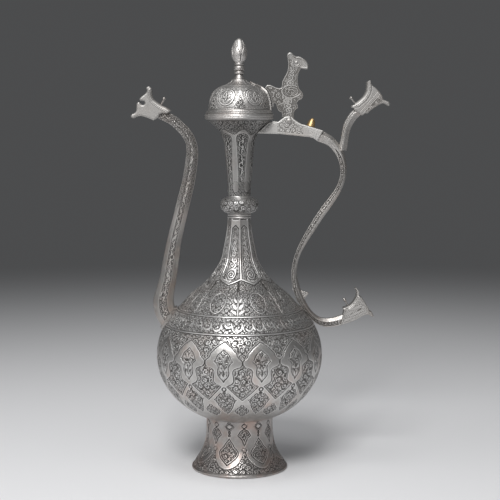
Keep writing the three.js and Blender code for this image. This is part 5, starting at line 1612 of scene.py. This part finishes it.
def strap_layer(out, across):
    """Points of the strap at a height out above the dome, at shares across its width."""
    line = strap_path + strap_side * out
    y = across[None, :] * strap_half[:, None]
    x = np.sqrt(most(line[:, :1]**2 - y**2, 0))
    return np.stack([AXIS + x, y, line[:, 1:] + 0 * y], axis=-1)


strap_across = np.linspace(-1, 1, 31)
bulge = 1.75 + 0.25 * (1 - strap_across**2)
outer_layer = np.stack([strap_layer(h, strap_across)[:, k] for k, h in enumerate(bulge)], axis=1)
strap_rings = np.concatenate([outer_layer, strap_layer(0.3, strap_across[::-1])], axis=1)
strap_down = length_along(strap_path)[:, None]
strap_edge = strap_half[:, None] * (1 - np.abs(strap_across))
strap_front = vine(strap_down, strap_across * strap_half[:, None], most(strap_half[:, None] - 1.4, 0.6), 9.0)
strap_cut = framed(strap_edge - 0.5, strap_front, 0.9, 0.3, -1)
strap_field = {"motif": np.concatenate([strap_cut[0], np.full((90, 31), 2.0)], axis=1),
               "fill": np.full((90, 62), -1.0)}
strap_low = strap_path[:, 1] > 358.6
wrap("leaf_strap", strap_rings[strap_low], {key: value[strap_low] for key, value in strap_field.items()},
     "chased_cast", "lid", "lid_strap")

# %% [markdown]
# ## The dragon heads
#
# Three heads in profile end the spout, the branch and the bar: a curled horn, an open or closed mouth, a pointed
# nape and two ball-ended pins behind the brow. They are thick plates too. A strip along the nape is bevelled off,
# with a bright line beside it. The spout head is cut hollow, so that the water can pass.

# %% Outlines of the heads
SPOUT_HEAD = [
    [(0, 0.29), (0.1, 0.37), (0.22, 0.44), (0.33, 0.53), (0.42, 0.62), (0.46, 0.71), (0.475, 0.82)],
    [(0.49, 0.95), (0.54, 1), (0.605, 0.96), (0.585, 0.9)],
    [(0.6, 0.83), (0.66, 0.76), (0.735, 0.69), (0.775, 0.62), (0.77, 0.595)],
    [(0.722, 0.58), (0.676, 0.572), (0.646, 0.53), (0.652, 0.48), (0.693, 0.448), (0.742, 0.466), (0.762, 0.5)],
    [(0.785, 0.534), (0.816, 0.532), (0.84, 0.5), (0.85, 0.39), (0.866, 0.265), (0.906, 0.21), (0.97, 0.175)],
    [(1, 0.125), (0.97, 0.07), (0.927, 0.06), (0.86, 0.104), (0.75, 0.125), (0.64, 0.095), (0.446, 0)],
    [(0.385, 0.03), (0.32, 0.095), (0.28, 0.174), (0.08, 0.21)]]
THROAT = [(0.2, 0.1), (0.32, 0.1), (0.75, 0.22), (0.95, 0.29), (0.95, 0.53), (0.6, 0.53), (0.36, 0.42),
          (0.2, 0.3)]
UPPER_HEAD = [
    [(0.054, 0.165), (0.06, 0.206), (0, 0.23), (0, 0.274), (0.06, 0.298)],
    [(0.12, 0.38), (0.214, 0.463), (0.303, 0.563), (0.362, 0.678), (0.386, 0.81), (0.386, 0.944)],
    [(0.437, 1), (0.483, 1)],
    [(0.507, 0.91), (0.544, 0.85), (0.62, 0.794), (0.694, 0.714), (0.756, 0.628), (0.804, 0.546)],
    [(0.818, 0.463), (0.863, 0.44), (0.973, 0.39)],
    [(1, 0.33), (0.98, 0.28), (0.895, 0.33), (0.818, 0.354), (0.729, 0.316), (0.517, 0.165)],
    [(0.458, 0.106), (0.426, 0.065), (0.367, 0.065)], [(0.276, 0)]]
LOWER_HEAD = [
    [(0.105, 0.385), (0.075, 0.45), (0.15, 0.48)],
    [(0.243, 0.52), (0.332, 0.586), (0.425, 0.698), (0.47, 0.806), (0.461, 0.918), (0.422, 0.984)],
    [(0.452, 1), (0.515, 0.944), (0.551, 0.862), (0.545, 0.793)],
    [(0.638, 0.74), (0.731, 0.618), (0.805, 0.507), (0.862, 0.385)], [(0.946, 0.342), (1, 0.233)],
    [(0.916, 0.247), (0.826, 0.294), (0.734, 0.281), (0.611, 0.225), (0.488, 0.164), (0, 0)]]
print("stretches of the outlines:", len(SPOUT_HEAD), len(UPPER_HEAD), len(LOWER_HEAD))

# %% Cut a head
def head_at(line, facing, socket, drop, length, height):
    """Where a share (u, v) of a head's outline lies, for a head at the end of a line that faces left or right."""
    end = line[-1]
    return lambda u, v: (end[0] + facing * (u * length - socket), end[1] - drop + v * height)


def head(name, stretches, place, nape, node, marks):
    """A head: eased edges, a strip along the nape that falls back by 1.6 mm, and its own marks."""
    loop = drawn(stretches, place)
    shape = distance_to(loop)
    nape_line = distance_to(drawn([stretches[k] for k in nape], place), closed=False)
    edge = eased_edge(13.0, 1.5)
    (x0, z0), (x1, z1) = loop.min(axis=0) - 1, loop.max(axis=0) + 1

    def half(inside, x, z):
        slope = np.clip(3.2 - nape_line(x, z), 0, 3.2) * 0.5
        return edge(inside, x, z) - slope

    def chase(x, z, inside):
        from_nape = nape_line(x, z)
        found = engraved(marks(x, z, inside, from_nape), net_flat(x + 0.5 * z, z, 7.0), 0.15)
        found["lift"] += 0.3 * step(0.6 - np.abs(from_nape - 3.6), -0.2, 0.4)
        return found
    return cut_plate(name, shape, ((x0, z0), (x1, z1)), 0.32, half, chase, "head_plate", "ewer", node)


spout_at = head_at(spout_line, -1, 14.5, 8, 39.5, 32.8)
upper_at = head_at(branch_line, 1, 11, 8, 37.3, 33.9)
lower_at = head_at(handle_line, 1, 6, 6.9, 33.4, 37.7)
print("the spout head's corner lies at", np.round(spout_at(0, 0), 1))

# %% Mark and cut the three heads
def spout_marks(x, z, inside, from_nape):
    """Plain, with a fine line beside the bevelled strip."""
    return plain(np.abs(from_nape - 2.9) - 0.16)


def upper_marks(x, z, inside, from_nape):
    """A double line along the nape, faint leaves on the cheek and a band across the neck."""
    lines = least(np.abs(from_nape - 2.9), np.abs(from_nape - 5.2)) - 0.17
    neck = upper_at(0.36, 0.3)
    band = (x - neck[0]) * 0.75 - (z - neck[1]) * 0.66
    lines = least(lines, np.where(inside > 1.2, least(np.abs(band), np.abs(band - 3)) - 0.15, 2))
    cheek = least(from_nape - 6.2, inside - 1.8, band - 4)
    return np.where(cheek > -0.2, np.stack([least(lines, -cheek), cheek]), plain(lines))


def lower_marks(x, z, inside, from_nape):
    """A dark slit for the eye, a dark line across the snout, pits, and a line along the jaw."""
    eye = lower_at(0.56, 0.42)
    tilt = (x - eye[0]) * 0.8 + (z - eye[1]) * 0.6
    off = -(x - eye[0]) * 0.6 + (z - eye[1]) * 0.8
    slit = np.hypot(tilt / 2.6, off / 0.8) - 1
    snout = np.where((inside > 0.2) & (off > 0.5), np.abs(tilt - 6.2 + 0.1 * off**2) - 0.2, 2)
    lines = least(slit, snout, np.abs(inside - 1.6) - 0.14, np.abs(from_nape - 2.9) - 0.14)
    cheek = least(from_nape - 4.0, inside - 2.6, slit * 2 - 0.6)
    pitted = 0.4 - 0.55 * step(np.sin(x * 1.9 + np.sin(z)) * np.sin(z * 2.2 + x), -0.2, 0.9)
    return np.where(cheek > 0.2, np.stack([least(lines, pitted), cheek]), plain(lines))


spout_head = head("dragon_spout_head", SPOUT_HEAD, spout_at, (0,), "spout_head", spout_marks)
cut_away(spout_head, [spout_at(u, v) for u, v in THROAT], 10.4)
head("dragon_upper_head", UPPER_HEAD, upper_at, (1,), "upper_head", upper_marks)
head("dragon_lower_head", LOWER_HEAD, lower_at, (1,), "lower_head", lower_marks)

# %% [markdown]
# ## The brow pins
#
# Behind each brow stand two pins with balled ends. They are turned pieces like the rest, stood on a slant.

# %% Make the brow pins
round_ball = np.linspace(-1.05, np.pi / 2, 14)
ball = np.stack([1.4 * np.cos(round_ball), 9 + 1.4 * np.sin(round_ball)], axis=1)
brow_line = np.concatenate([[[0, 0], [0.65, 0], [0.65, 7.7]], ball[:-1], [[0, 10.4]]])
for name, place, share, lean, facing in (("spout_head", spout_at, (0.25, 0.46), (-0.46, 0.89), -1),
                                         ("upper_head", upper_at, (0.1, 0.35), (-0.63, 0.77), 1),
                                         ("lower_head", lower_at, (0.23, 0.515), (-0.5, 0.86), 1)):
    for k, side in enumerate((-1, 1)):
        up = unit(np.array([lean[0] * facing, side * 0.18, lean[1]]))
        x, z = place(*share)
        foot_at = np.array([x, side * 3, z]) - 2 * up
        turned(f"{name}_brow_{k + 1}", brow_line, [], 20, "chased_cast",
               node=f"{name}_pin_{k + 1}", place=stood(foot_at, up))

# %% [markdown]
# ## The small leaf and what stays as packed
#
# A small leaf with a toothed edge stands on the outside of the bar. The spout's collar, the lid's bezel and the
# washer under the dome have the right shape already, so they only get their metal.

# %% Make the small leaf
SPUR = [[(-0.5, 0.1), (-0.42, 0.4), (-0.2, 0.75), (0.02, 1)], [(0.2, 0.6), (0.5, 0.1)]]
spur_row = 260 + int(np.argmin(np.abs(handle_line[260:420, 1] - 173.5)))
spur_way = unit(handle_line[spur_row + 1, :2] - handle_line[spur_row - 1, :2])
spur_foot = handle_line[spur_row, :2]


def spur_at(u, v):
    return (spur_foot[0] + spur_way[0] * u * 12 - spur_way[1] * v * 10.4,
            spur_foot[1] + spur_way[1] * u * 12 + spur_way[0] * v * 10.4)


spur_loop = drawn(SPUR, spur_at, 10)
spur_shape = distance_to(spur_loop)


def toothed(x, z):
    """The leaf's outline with small teeth cut into it, and its foot sunk to the bar."""
    return spur_shape(x, z) - 0.3 * np.abs(np.sin((x + z) * 2.2)) * step(spur_shape(x, z), 1.5, 0)


def spur_chase(x, z, inside):
    """Slanting veins."""
    motif = np.abs(wrapped(x * 0.7 - z * 0.7, 1.8)) - 0.2
    return engraved(plain(np.where(inside > 0.7, motif, 2.0)), depth=0.15)


spur_low, spur_high = spur_loop.min(axis=0) - 1, spur_loop.max(axis=0) + 1
cut_plate("toothed_leaf", toothed, (spur_low, spur_high), 0.25, eased_edge(4.0, 0.6), spur_chase,
          "chased_cast", "ewer", "handle_spur")

# %% Give the packed pieces their metal
for name, metal in (("spout_collar", "plain_cast"), ("lid_bezel", "plain_tin"), ("finial_washer", "plain_tin")):
    for holder in bpy.data.objects[name].material_slots:
        holder.material = metals[metal]

# %% [markdown] ## End of the scene
# Pieces made in Blender stay inside the solids' box.
